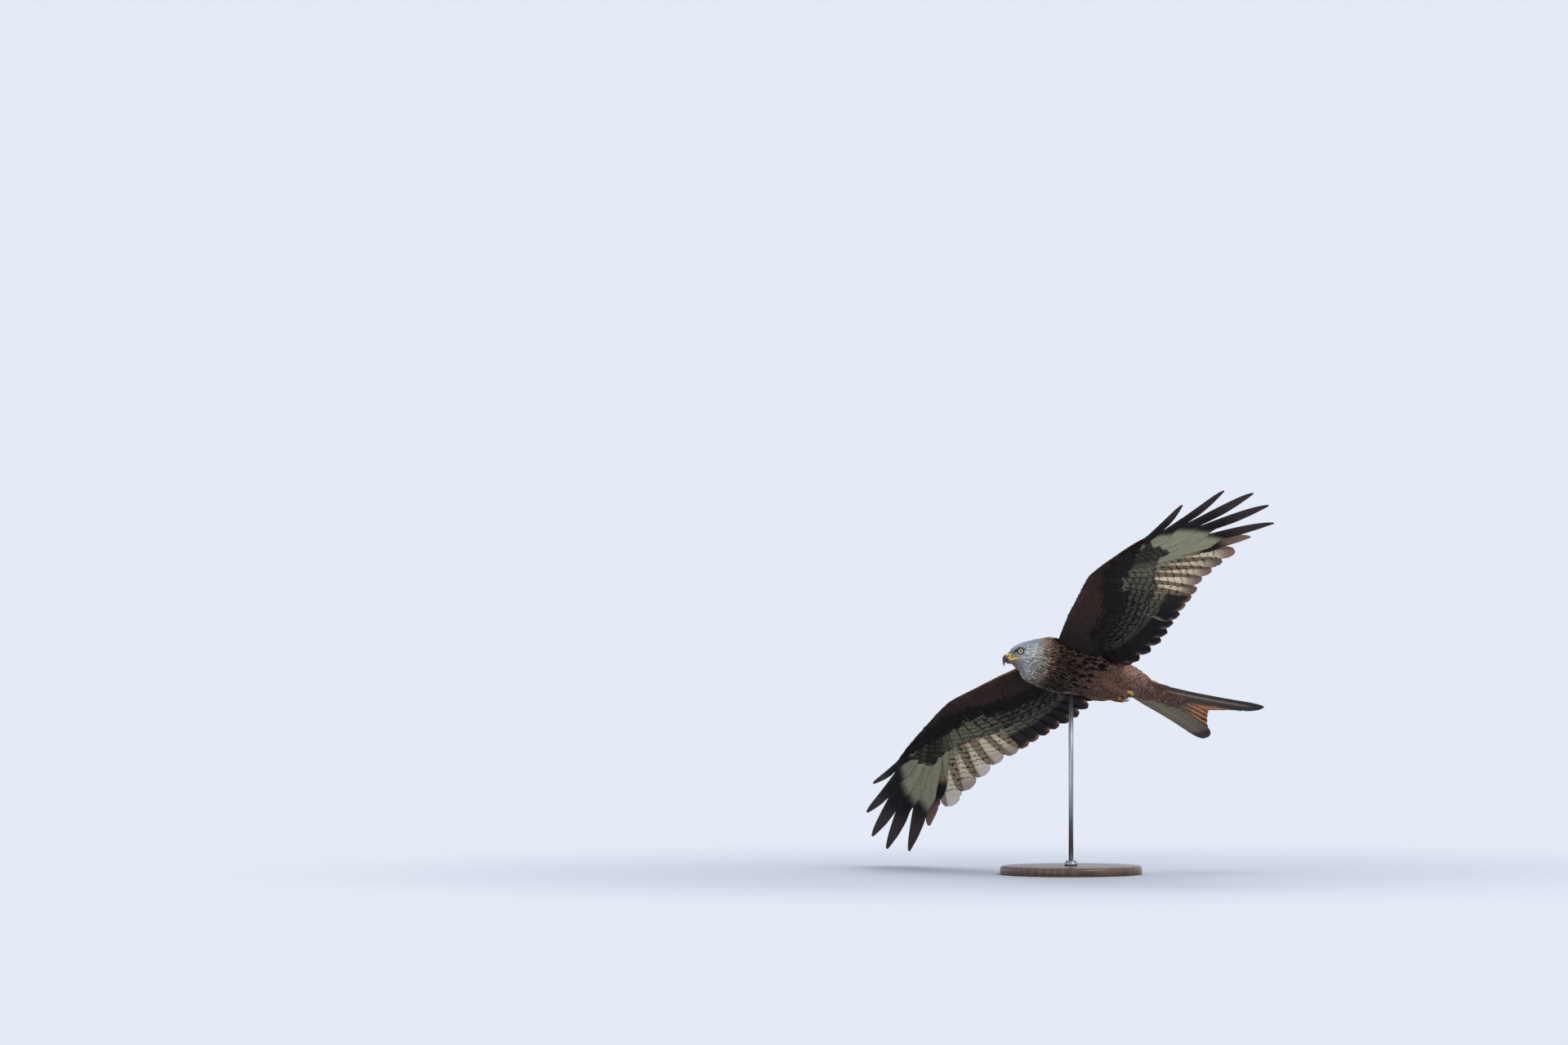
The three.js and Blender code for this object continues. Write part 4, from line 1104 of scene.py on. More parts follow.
# Ground colours of the coverts above, by place along the wing: rufous lesser, pale median, dark greater
OVER_LESSER = [(25, (122, 80, 56)), (200, (116, 76, 54)), (330, (92, 66, 52)), (470, (60, 50, 46))]
OVER_MEDIAN = [(25, (176, 140, 106)), (240, (184, 150, 116)), (300, (110, 84, 66)), (470, (64, 52, 48))]
OVER_GREATER = [(25, (92, 70, 58)), (272, (84, 66, 56)), (330, (54, 46, 44)), (470, (40, 36, 36))]


def plan_feathers(coat, side, up, x0, y0, aim, length, lead, trail, level, tilt, looks, rows, cols=5, tip=0.8,
                  spacing=15):
    """Feathers lying on the wing. x0, y0 = roots in plan; aim = degrees from straight back towards the tip;
    level = height above the wing's surface at the root and at the tip; tilt = slope across the blade."""
    n = len(x0)
    share = np.linspace(0, 1, rows)[None, :, None] * np.ones((n, 1, cols))
    across = np.linspace(1, -1, cols)[None, None, :] * np.ones((n, rows, 1))
    grown = 0.55 + 0.45 * smooth(share / 0.35)
    end = np.sqrt(np.clip(1 - np.clip((share - tip) / (1.03 - tip), 0, 1) ** 2, 0, 1))
    off = np.where(across > 0, across * each(lead), across * each(trail)) * grown * end
    bow = np.radians(each(aim) + 6 * (0.5 - share))
    ragged = share * (1 + rng.uniform(-0.03, 0.03, (n, 1, cols)) * share**4)
    x = each(x0) - each(length) * ragged * np.cos(bow) + off * np.sin(bow)
    y = each(y0) + each(length) * ragged * np.sin(bow) + off * np.cos(bow)
    rise = between(*level, share**0.7)
    skin = arm_half(x, y, up)
    top = np.maximum(skin, np.minimum(4.4, 0.1 * (along(LEADING_X, y) - x)) * smooth((490 - y) / 60)) + rise
    z = wing_height(x, y) + up * top + tilt * off - up * 0.05 * off**2 / np.maximum(each(trail), 1)
    mid = pack(x, side * y, z)
    place = along(LEADING_X, y0) - x0
    root = pack(0.01 + 0.97 * y0 / 480, 0.5 + up * (0.01 + 0.45 * np.clip(place / 160, 0, 1)))
    data = blade_looks(across, share, size=(length, trail, spacing), **looks)
    coat.add_turned(side < 0, mid, np.broadcast_to(UP, mid.shape), 0.2 * (1 - 0.5 * share), data,
                    patch_uv(root, across, share))


def jitter(colour, n, amount=0.08):
    return np.broadcast_to(colour, (n, 3)) * rng.normal(1, amount, (n, 1))


def greater_coverts(coat, side, up):
    """One to each flight feather"""
    k = np.arange(1.0, FLIGHT)
    number = k - SECONDARIES + 1
    x0, y0 = on_quill(k, 0.03)
    inner = 0.5 if up > 0 else 0.58
    length = of_quill(Q_LENGTH, k) * along([(0, inner), (11, inner), (14, 0.42), (16, 0.33), (21, 0.29)], k)
    lead = np.where(k < 12, 13, along([(1, 13), (10, 5)], number))
    trail = np.where(k < 12, 26, along([(1, 26), (6, 22), (10, 12)], number))
    n = len(k)
    if up > 0:
        tone = ramp(OVER_GREATER, on_quill(k, 0.3)[1])
        mark = (0.12, 0.6, 0.75)
        rim, cross = jitter(paint(160, 126, 98), n), (0.25, 0.6, 0)
    else:
        on_arm = smooth((SECONDARIES + 3.5 - k) / 1.5)
        spot = ramp([(1, (44, 43, 37)), (5, (66, 66, 54)), (8, (70, 71, 60)), (11, (98, 98, 80)),
                     (15, (118, 117, 96))], k)
        # The spots are dimmer toward the body; on the raised left wing they are dimmer still, as painted
        # shade
        dim = [(1, 0.8), (7, 0.84), (11, 0.95)]
        if side > 0:
            dim = [(1, 0.74), (4, 0.62), (10, 0.66), (13, 0.84)]
        spot = spot * along(dim, k)[:, None]
        tone = mixed(jitter(paint(56, 53, 44), n, 0.2), spot * rng.normal(1, 0.1, (n, 1)), on_arm)
        mark = (0.1, 0.3, 0.8)
        rim = jitter(paint(112, 112, 98), n)
        bars = along([(1, 1), (9, 0.95), (12, 0.75), (15, 0.45), (16, 0.6)], k)
        narrow = along([(1, -0.05), (7, 0), (11, 0.4), (15, 0.6), (16, -0.1)], k)
        cross = (bars, narrow, along([(9, 0.85), (12, 0.3), (15, 0.25), (16, 0.85)], k))
    looks = {"hue": tone, "ink": jitter(paint(*BLACK), n), "rim": rim, "mark": mark, "cross": cross}
    plan_feathers(coat, side, up, x0, y0, of_quill(Q_SPLAY, k), length, lead, trail, (-0.5, 0.3), 0.03, looks,
                  rows=14, cols=7, spacing=14)


def median_coverts(coat, side, up):
    """More and shorter, over the greater coverts' roots"""
    k = np.arange(0.4, FLIGHT - 1.2, 0.45)
    bx, by = on_quill(k, 0.0)
    n = len(k)
    x0 = bx + 0.18 * (along(LEADING_X, by) - bx) + rng.normal(0, 1, n)
    reach = [(0, 62), (12, 66), (21, 44)]
    if up < 0:
        reach = [(0, 76), (6, 84), (10, 76), (12, 68), (15, 68), (18, 58), (21, 40)]
    length = along(reach, k) * rng.uniform(0.92, 1.08, n)
    if up < 0:
        tone = jitter(under_tone(x0 - 0.5 * length, by), n)
        rim = jitter(paint(46, 40, 38), n)
        # A few pale feathers at the wrist
        at_wrist = np.abs(k - 11) < 1.4
        rim = np.where(at_wrist[:, None], paint(150, 148, 130), rim)
        mark = (0.1, np.where(at_wrist, 0.75, 0.25), np.where(at_wrist, 0.8, 0.7))
    else:
        tone = jitter(ramp(OVER_MEDIAN, by), n)
        mark = (0.22, 0.8, 0.6)
        rim = jitter(paint(206, 172, 136), n)
    looks = {"hue": tone, "ink": jitter(paint(40, 30, 26), n), "rim": rim, "mark": mark}
    half = along([(0, 11), (12, 10), (21, 6)], k)
    plan_feathers(coat, side, up, x0, by, of_quill(Q_SPLAY, k), length, half * 0.7, half, (-0.3, 1.3), 0.05,
                  looks, rows=10)


def lesser_coverts(coat, side, up):
    """In close rows from the leading edge back"""
    xs, ys, lengths, halves = [], [], [], []
    for i, back in enumerate((0.5, 4, 8.5, 13.5, 19, 25, 31.5, 38.5, 46, 54, 62.5, 71)):
        step = along([(0, 3.4), (20, 5), (70, 7.5)], back)
        y = np.arange(30 + 0.5 * step * (i % 2), 468, step)
        y = y[back < 0.74 * along(ARM_CHORD, y) + 1.5]
        y = y + rng.normal(0, 0.1 * step, len(y))
        xs.append(along(LEADING_X, y) - back + rng.normal(0, 0.6, len(y)))
        ys.append(y)
        scale = along([(25, 1.1), (300, 1), (470, 0.7)], y)
        lengths.append(along([(0, 11), (20, 18), (70, 32)], back) * rng.uniform(0.92, 1.08, len(y)) * scale)
        halves.append(np.full(len(y), along([(0, 2.9), (20, 4.6), (70, 8)], back)))
    x0, y0, length, half = map(np.concatenate, (xs, ys, lengths, halves))
    n = len(x0)
    aim = along([(25, -20), (150, 0), (240, 22), (300, 45), (400, 68), (470, 80)], y0) + rng.normal(0, 3, n)
    if up < 0:
        tone = jitter(under_tone(x0 - 0.6 * length, y0), n)
        mark = (0.16, 0.55, 0.7)
        rim = tone * 1.35
    else:
        tone = jitter(ramp(OVER_LESSER, y0), n)
        mark = (0.4, 0.6, 0.6)
        rim = jitter(paint(176, 122, 84), n)
    looks = {"hue": tone, "ink": jitter(paint(26, 20, 18), n), "rim": rim, "mark": mark}
    plan_feathers(coat, side, up, x0, y0, aim, length, half * 0.9, half, (-1.2, 1.1), 0.06, looks, rows=6,
                  tip=0.7)


def inner_feathers(coat, side, up):
    """Tertials and scapulars above, axillaries below, between the arm and the trunk"""
    n = 32
    t = rng.permutation(n) / n
    x0 = 66 - 92 * t + rng.normal(0, 2, n)
    y0 = 34 + 22 * rng.random(n)
    if up < 0:
        tone, rim = jitter(paint(40, 30, 28), n), jitter(paint(84, 62, 54), n)
        length = rng.uniform(54, 78, n)
    else:
        tone, rim = jitter(paint(84, 60, 46), n), jitter(paint(168, 120, 84), n)
        length = rng.uniform(60, 92, n)
    mark = (0.2, 0.5, 0.72)
    looks = {"hue": tone, "ink": jitter(paint(26, 20, 18), n), "rim": rim, "mark": mark}
    aim = -26 - 14 * t + rng.normal(0, 3, n)
    half = rng.uniform(8, 11, n)
    plan_feathers(coat, side, up, x0, y0, aim, length, half * 0.8, half, (-0.6, 1.6), 0.05, looks, rows=9,
                  tip=0.72)


def alula(coat, side, up):
    """Four stiff feathers of the thumb, along the leading edge beyond the wrist"""
    y0 = np.array([300.0, 304, 308, 312])
    x0 = along(LEADING_X, y0) - np.array([12.0, 9, 6.5, 4.5])
    length = np.array([52.0, 66, 78, 88])
    n = 4
    mark = (0.1, 0.4, 0.8)
    looks = {"hue": jitter(paint(34, 29, 29), n), "ink": jitter(paint(18, 15, 15), n),
             "rim": jitter(paint(70, 58, 52), n), "mark": mark}
    half = np.array([7.0, 7.5, 7.5, 7])
    plan_feathers(coat, side, up, x0, y0, np.full(n, 84.0), length, half * 0.5, half, (0.2, 1.2), 0.04, looks,
                  rows=12, tip=0.75)


def coverts(side, name):
    coat = Coat(f"coverts_{name}", SOFT)
    for up in (1, -1):
        for layer in (greater_coverts, median_coverts, inner_feathers, lesser_coverts):
            layer(coat, side, up)
    alula(coat, side, 1)
    coat.finish("wing_plumage", f"wing_{name}_arm")


# Tail
def tail_feathers():
    coat = Coat("tail_feathers", STIFF)
    for pair in range(TAIL_PAIRS):
        for side in (1, -1):
            s = SHARES
            length, splay = TAIL_LENGTH[pair], side * math.radians(TAIL_SPLAY[pair])
            base = side * TAIL_BASE * (pair + 0.5) / TAIL_PAIRS
            turn = splay * (0.6 + 0.8 * s)
            cx, cy = -length * s * math.cos(splay), base + length * math.sin(splay) * s * (0.55 + 0.45 * s)
            outer = 0.3 if pair == 5 else 0.4
            grown = (0.55 + 0.45 * smooth(s / 0.35)) * rounded(s, 0.84)
            out_web = np.maximum(TAIL_WIDTH * outer * grown, 0.4)
            in_web = np.maximum(TAIL_WIDTH * (1 - outer) * grown, 0.4)
            shaft = np.minimum(1.3 * (1 - 0.8 * s) + 0.2, out_web * 0.38)
            off = vane_offsets(out_web, in_web, shaft)
            off = off * (1 - frayed(len(s), off.shape[1], 3))
            level = -TAIL_STEP * (2 * pair + (1 if side < 0 else 0)) + TAIL_STEP * 5
            x = cx[:, None] + side * off * np.sin(turn)[:, None]
            y = cy[:, None] + side * off * np.cos(turn)[:, None]
            mid = in_tail(pack(x, y, level))[None]
            across = np.where(off >= 0, off / out_web.max(), off / in_web.max())
            share = np.broadcast_to(s[:, None], off.shape)
            outer_most = pair / 5
            if side < 0:
                ground = ramp([(0, (112, 102, 84)), (0.55, (114, 105, 86)), (0.86, (100, 91, 75)),
                               (0.92, (44, 38, 36)), (1, (60, 52, 48))], share)
                ground = mixed(ramp([(0, (110, 78, 62)), (1, (124, 82, 62))], share), ground,
                               np.full(off.shape, smooth((outer_most - 0.25) / 0.3)))
            else:
                ground = ramp([(0, (104, 74, 60)), (0.7, (112, 76, 60)), (1, (136, 88, 62))], share)
                dark_outer = ramp([(0, (80, 66, 55)), (0.5, (62, 55, 47)), (1, (38, 34, 34))], share)
                ground = mixed(ground, dark_outer, np.full(off.shape, smooth((outer_most - 0.55) / 0.3)))
            fork = outer_most < 0.9
            inner_edge = smooth((-across - 0.66) / 0.24) * smooth((share - 0.58) / 0.24) * fork
            end_edge = smooth((share - 0.94) / 0.05) * fork
            below = mixed(ground, paint(214, 142, 88), 0.85 * np.maximum(inner_edge, end_edge))
            below = mixed(below, paint(60, 46, 40), 0.75 * smooth((across - 0.7) / 0.2) * (pair == 5))
            # A long pale streak beside each shaft
            streak = np.exp(-(((across + 0.16) / 0.1) ** 2)) * smooth((share - 0.15) / 0.2)
            streak = streak * (1 - smooth((share - 0.8) / 0.15))
            below = mixed(below, paint(190, 168, 142), (0.6 if side > 0 else 0.2) * streak)
            above = ramp([(0, (184, 106, 60)), (0.8, (176, 98, 54)), (0.93, (140, 82, 52)),
                          (1, (196, 140, 98))], share)
            above = mixed(above, paint(96, 66, 48), np.full(off.shape, 0.5) * (across > 0) * outer_most)
            hue = np.stack([above, below])[None] * rng.normal(1, 0.05)
            looks = {"hue": hue, "rim": hue, "ink": paint(70, 50, 38), "layer": np.zeros(3),
                     "cross": upper_lower((0 * off + 0.35, 0.7, 0), (0 * off + 0.2, 0.7, 0)),
                     "vane": pack(across, share, 0.4 + 0.03 * pair)[None, None],
                     "size": np.array([length, in_web.max(), 19])}
            number = 2 * pair + (side < 0)
            add_stiff(coat, side, number, TAIL_COUNT, mid, TAIL_TURN @ UP, 0.7, looks, across, s)
    coat.finish("tail_plumage", "tail")


def stem_section(x):
    """Half width and half height of the tail's stem"""
    return [along([(row[0], row[i]) for row in TAIL_STEM[::-1]], x) for i in (1, 2)]


def tail_coverts():
    """Coverts that flow from the rump and the vent over the roots of the tail feathers"""
    coat = Coat("tail_coverts", SOFT)
    xs, sides, ups = [], [], []
    for i, x in enumerate(np.arange(26, -112, -9.0)):
        n = 15
        for up in (1, -1):
            xs.append(np.full(n, x) + rng.normal(0, 1.5, n))
            sides.append((np.arange(n) + 0.5 * (i % 2) - (n - 1) / 2) / ((n - 1) / 2) * 0.98)
            ups.append(np.full(n, up))
    x0, side, up = map(np.concatenate, (xs, sides, ups))
    n = len(x0)
    length = along([(-112, 46), (-60, 42), (26, 36)], x0) * rng.uniform(0.9, 1.1, n)
    half = np.full(n, 8.0) * rng.uniform(0.9, 1.1, n)
    share, across, width, reach = contour_grid(n, 7, 5, np.zeros(n))
    x = each(x0) - each(length) * reach
    half_w, half_h = stem_section(x)
    half_w = half_w + 0.05 * np.maximum(0, -x - 40)
    y = each(side) * half_w + across * width * each(half)
    over = np.clip(1 - (y / (half_w + 6)) ** 2, 0, 1)
    surface = np.maximum(half_h, 7.5) * np.sqrt(over)
    z = each(up) * (surface - 2.5 * (1 - share) + each(rng.uniform(-0.6, 0.8, n)) * share)
    points = in_tail(pack(x, y, z))
    slope = pack(0, y / 30, each(up))
    normals = unit(slope @ TAIL_TURN.T)
    below = ramp([(-112, (108, 78, 64)), (-60, (106, 76, 63)), (0, (112, 82, 68)), (26, (128, 94, 78))], x0)
    above = ramp([(-112, (186, 110, 66)), (26, (150, 92, 60))], x0)
    tone = np.where((up > 0)[:, None], above, below) * rng.normal(1, 0.08, (n, 1))
    pale = (up < 0) & (rng.random(n) < 0.22)
    mark = (np.where(up < 0, 0.3, 0.1), np.where(pale, 0.6, 0.3), np.where(pale, 0.6, 0.7))
    root = pack(0.5 + 0.45 * side, 0.5 + up * (0.02 + 0.45 * (26 - x0) / 140))
    thick = 0.2 * (1 - 0.5 * share)
    ink, rim = jitter(paint(70, 46, 36), n), mixed(tone * 1.3, paint(180, 150, 124), np.where(pale, 0.7, 0.0))
    looks = blade_looks(across, share, tone, ink, rim, mark, (length, half, 20))
    uv = patch_uv(root, across, share)
    for chosen, turned in ((up > 0, True), (up < 0, False)):
        part = {k: np.broadcast_to(v, (n, *v.shape[1:]))[chosen] for k, v in looks.items()}
        coat.add_turned(turned, points[chosen], normals[chosen], thick[chosen], part, uv[chosen])
    coat.finish("body_plumage")


# Skin: one closed surface under all the feathers, parted nowhere
def skin_sources():
    """Lofts of the trunk and head, arms, tail root and thighs, drawn in by the coat's depth"""
    rows = np.arange(0, len(body.points), 3)
    inset = each(coat_depth(FACE_AT - rows))
    yield body.points[rows][:, ::4] - body.normals[rows][:, ::4] * inset
    for side in (1, -1):
        rings = []
        for y in np.arange(25, 469, 6.0):
            lead, chord = along(LEADING_X, y), along(ARM_CHORD, y)
            shares = np.linspace(0.0, 1, 15) ** 1.5
            x = lead - 1.5 - (chord - 2) * shares
            top, under = (pack(x, side * y, wing_height(x, y) + up
                               * np.maximum(arm_half(x, y, up) - ARM_INSET, 0.35)) for up in (1, -1))
            rings.append(np.concatenate([top, under[::-1]]))
        yield np.array(rings)
        line = np.array(THIGH)
        line[:, 1] *= side
        yield tube_rings(line[:, :3], line[:, 3] - 2.5, 20)
    a = turns(24)
    yield np.array([in_tail(pack(x, (w - 3) * np.sin(a), max(h - 3, 1.2) * np.cos(a)))
                    for x, w, h in TAIL_STEM])


def skin():
    parts = [outward(mesh_object(f"skin_{i}", r.reshape(-1, 3), loft_faces(*r.shape[:2]), SKIN))
             for i, r in enumerate(skin_sources())]
    bpy.ops.object.select_all(action="DESELECT")
    for part in parts:
        part.select_set(True)
    bpy.context.view_layer.objects.active = parts[0]
    bpy.ops.object.join()
    rough = parts[0]
    remesh = rough.modifiers.new("one_skin", "REMESH")
    remesh.mode = "VOXEL"
    remesh.voxel_size = SKIN_VOXEL
    remesh.use_smooth_shade = True
    soften = rough.modifiers.new("soften", "SMOOTH")
    soften.factor, soften.iterations = 0.5, 3
    shaped = rough.evaluated_get(bpy.context.evaluated_depsgraph_get())
    mesh = bpy.data.meshes.new_from_object(shaped)
    bpy.data.objects.remove(rough)
    mesh.name = "skin"
    obj = bpy.data.objects.new("skin", mesh)
    bpy.context.scene.collection.objects.link(obj)
    mesh.materials.clear()
    mesh.materials.append(SKIN)
    co = np.zeros(len(mesh.vertices) * 3, np.float32)
    mesh.vertices.foreach_get("co", co)
    p = (co.reshape(-1, 3).astype(float) * 1000 - MIDDLE) @ ATTITUDE
    tone, _ = body_tone(p, behind_face(p))
    y = np.abs(p[:, 1])
    above = p[:, 2] > wing_height(p[:, 0], y)
    wing = np.where(above[:, None], ramp(OVER_LESSER, y), under_tone(p[:, 0], y))
    tone = mixed(tone, wing, smooth((y - 48) / 12) * (p[:, 0] > -90))
    attribute(mesh, "hue", tone * 0.8, "FLOAT_COLOR")
    ride(obj, "body_plumage", "torso", "neck", "head", "wing_left_arm", "wing_right_arm", "leg_left",
         "leg_right")


def skin_material():
    s = Shader("skin_down", Roughness=0.9, Sheen_Weight=0.04, Specular_IOR_Level=0.2)
    fine = s.noise(s.place(), 900, 4)
    s.colour(s.mix(s.step(fine, 0.3, 0.7, (0, 0.35)), s.read("hue").outputs["Color"], (0.02, 0.016, 0.014)))
    s.bump(fine, 0.6, 0.0008)
    return s.material


SKIN = skin_material()


# Bare parts
def horn_material(name, base, tip, rough):
    s = Shader(name, Roughness=rough, Coat_Weight=0.3)
    fine = s.noise(s.place(), 260, 4)
    s.colour(s.mix(s.step(fine, 0.35, 0.7), base, tip))
    s.bump(fine, 0.25, 0.0003)
    return s.material


CLAW = horn_material("claw_horn", paint(24, 22, 22), paint(48, 44, 42), 0.35)


def flesh_material(name, base, shade, rough, scale, depth):
    s = Shader(name, Roughness=rough, Subsurface_Weight=0.15, Subsurface_Scale=0.002)
    fine = s.noise(s.place(), scale, 5)
    s.colour(s.mix(s.step(fine, 0.3, 0.75), base, shade))
    s.bump(fine, 0.4, depth)
    return s.material


GAPE = flesh_material("gape_skin", paint(224, 178, 66), paint(196, 138, 46), 0.45, 420, 0.0004)
LIDS = flesh_material("lid_skin", paint(34, 34, 38), paint(22, 22, 26), 0.6, 900, 0.0003)
FOOT = flesh_material("foot_scales", paint(206, 156, 40), paint(164, 112, 26), 0.5, 500, 0.0006)


def face_material(name, skin, skin_shade):
    """Bare skin that passes into blue-black horn by the attribute zone"""
    s = Shader(name, Roughness=0.4, Coat_Weight=0.15)
    fine, broad = s.noise(s.place(), 420, 5), s.noise(s.place(), 150, 3)
    horn = s.mix(s.step(broad, 0.35, 0.7), paint(24, 25, 34), paint(46, 48, 60))
    bare = s.mix(s.step(fine, 0.3, 0.75), skin, skin_shade)
    s.colour(s.mix(s.split(s.read("zone").outputs["Vector"])[0], bare, horn))
    s.bump(fine, 0.35, 0.0004)
    return s.material


CERE = face_material("cere_skin", paint(224, 170, 64), paint(192, 132, 46))
MANDIBLE = face_material("bill_lower_horn", paint(96, 92, 56), paint(66, 64, 44))
HORN = face_material("bill_horn", paint(40, 40, 46), paint(30, 30, 38))


def profile_rings(rows, fine, sides):
    """Rings of a bill from rows of (top point, bottom point, half width) in the head's frame"""
    flat = np.array([[*t, *b, w] for t, b, w in rows], float)
    at = np.concatenate([[0], np.cumsum(np.hypot(*np.diff((flat[:, :2] + flat[:, 2:4]) / 2, axis=0).T))])
    got = spline(at, flat, np.linspace(0, at[-1], fine))
    a = turns(sides)
    t = (1 - np.cos(a)) / 2
    rings = []
    for tx, tz, bx, bz, w in got:
        bulge = np.sign(np.sin(a)) * np.abs(np.sin(a)) ** 0.9
        rings.append(pack(tx + (bx - tx) * t, w * bulge, tz + (bz - tz) * t))
    return in_head(np.array(rings))


BILL_UPPER = [((26.6, -0.4), (26.2, -14.6), 6), ((28, -0.9), (27.4, -15.6), 5.9),
              ((31.5, -1.8), (30, -16.8), 5.3), ((35.2, -6), (31.4, -17.8), 4.4),
              ((36.9, -12.2), (32.5, -19.6), 3.4), ((36.4, -19.5), (33.2, -23), 2.1),
              ((34.8, -26.6), (34.3, -26.7), 0.35)]
CERE_ROWS = [((15.5, 5.6), (15, -13.2), 9.6), ((18, 4.8), (17.5, -13.4), 8.9), ((24, 1.8), (23.5, -14), 7.5),
             ((27.6, 0.1), (27.3, -14.9), 6.4), ((28.8, -0.4), (28.5, -15.1), 6.1),
             ((29.4, -1.6), (29, -14.4), 5.2)]
BILL_LOWER = [((15, -13.9), (15, -22.6), 8), ((18, -13.9), (18, -21.8), 7.2),
              ((25, -14.1), (24.5, -20.8), 5.4), ((29, -14.6), (28.6, -19.4), 4.2),
              ((31.4, -15.6), (31, -17.6), 2)]
NOSTRIL = (25, -6)


def bill():
    upper, lower, cere = (profile_rings(*a) for a in ((BILL_UPPER, 48, 40), (BILL_LOWER, 28, 32),
                                                      (CERE_ROWS, 48, 64)))
    h = from_head(cere)
    # Nostrils sink into the cere
    for side in (1, -1):
        d = np.hypot((h[..., 0] - NOSTRIL[0]) / 2.5,
                     (h[..., 2] - NOSTRIL[1] + 0.4 * (h[..., 0] - NOSTRIL[0])) / 1.6)
        h[..., 1] -= side * 2.4 * smooth(1.5 - d) * (np.sign(h[..., 1]) == side)
    made = [(loft("bill_upper_horn", upper, HORN), "bill_upper", 1 + 0 * upper[..., 0]),
            (loft("bill_lower_horn", lower, MANDIBLE), "bill_lower",
             smooth((from_head(lower)[..., 0] - 20) / 5)),
            (loft("cere_skin", in_head(h), CERE), "cere",
             smooth((-h[..., 2] - 6 - 0.743 * (30.5 - h[..., 0])) / 0.9))]
    for obj, node, horn in made:
        attribute(obj.data, "zone", pack(horn, 0, 0).reshape(-1, 3))
        ride(obj, "yellow_skin" if node == "cere" else "horn", node)
    face_feathers(cere)
    for side, name in ((1, "left"), (-1, "right")):
        # Gape: the yellow lips run back from the cere to behind the eye's front
        x = np.linspace(24.5, -4, 48)
        skin_at = along([(-4, 20.4), (0.5, 18.6), (3, 17.9), (11, 14), (16, 11), (19.5, 8.9), (22, 7.5),
                         (24.5, 5.6)], x)
        for lip, up, full in (("upper", 1, 1), ("lower", -0.65, 0.7)):
            apart = along([(-4, 0.1), (0.5, 0.3), (4, 0.6), (12, 1.2), (24.5, 1.8)], x)
            z = MOUTH + 0.7 + up * apart - 0.25 * np.sin((24.5 - x) / 28.5 * np.pi)
            radii = full * along([(-4, 0.15), (0.5, 0.45), (4, 0.9), (10, 1.3), (17, 1.7), (20, 1.6),
                                  (24.5, 1)], x)
            line = in_head(pack(x, side * (skin_at - 0.3 - 0.4 * radii), z))
            ride(loft(f"gape_{lip}_{name}", tube_rings(line, radii, 12), GAPE), "yellow_skin")
        hole = Shader(f"nostril_dark_{name}", Roughness=0.9)
        hole.colour(hole.mix(hole.noise(hole.place(), 800), (0.02, 0.006, 0.003), (0.05, 0.016, 0.008)))
        a = np.linspace(0, np.pi, 9)
        line = pack(NOSTRIL[0] - 2.2 * np.cos(a), side * 5.5, NOSTRIL[1] + 0.9 * np.cos(a))
        ride(loft(f"nostril_{name}", tube_rings(in_head(line), 1.6 * np.sin(a) + 0.15, 12), hole.material),
             "horn")


def face_feathers(cere):
    """Short bristly feathers of the forehead and the lore, which reach forward over the cere's rear"""
    coat = Coat("face_plumage", SOFT)
    face = Surface(cere.mean(1), cere)
    n = 1100
    u, v = rng.uniform(0.3, 10, n), rng.random(n)
    root, _ = face.at(u, v)
    h = from_head(root)
    on_lore = (h[:, 0] < 21.2 + 0.1 * h[:, 2] + 0.8 * np.sin(2.2 * h[:, 2])) & (h[:, 2] > -10.6)
    on_top = (h[:, 2] > -0.6 - 0.3 * (h[:, 0] - 20)) & (h[:, 0] < 25)
    keep = on_lore | on_top
    u, v, root = u[keep], v[keep], root[keep]
    n = len(u)
    tone, _ = body_tone(face.at(u - 1.2, v)[0], np.full(n, 4.0))
    length, half = rng.uniform(2.4, 3.6, n), rng.uniform(0.5, 0.75, n)
    share, across, width, reach = contour_grid(n, 5, 5, np.full(n, 0.8))
    points, normals = face.below(u, v, each(length) * reach, across * width * each(half))
    points = points + normals * (-0.2 + (0.6 + each(rng.uniform(0, 0.3, n))) * share)[..., None]
    looks = blade_looks(across, share, tone * rng.normal(1, 0.12, (n, 1)), ramp(INK, 0), tone * 1.3,
                        (0.16, 0.3, 0.7), (length, half, 20))
    place = pack(0.01 + 0.97 * v, 0.99 - 0.04 * u / 10)
    coat.add(points, normals, 0.07 * (1 - 0.5 * share), looks, patch_uv(place, across, share))
    coat.finish("body_plumage")


def iris_material():
    s = Shader("iris", Roughness=0.25, Coat_Weight=0.3, Coat_Roughness=0.03, Specular_IOR_Level=0.2)
    polar, around, _ = s.split(s.read("gaze").outputs["Vector"])
    fibre = s.noise(s.join(s.times(polar, 2.2), s.times(s.math("SINE", around), 9),
                           s.times(s.math("COSINE", around), 9)), 1.0, 3)
    iris = s.mix(s.step(fibre, 0.3, 0.7), paint(208, 206, 158), paint(166, 158, 106))
    iris = s.mix(s.step(polar, 0.5, 0.66), iris, paint(128, 118, 84))
    pupil = s.step(polar, 0.29, 0.32)
    tone = s.mix(pupil, (0.004, 0.004, 0.005), iris)
    s.colour(s.mix(s.step(polar, 0.66, 0.72), tone, (0.02, 0.018, 0.018)))
    return s.material


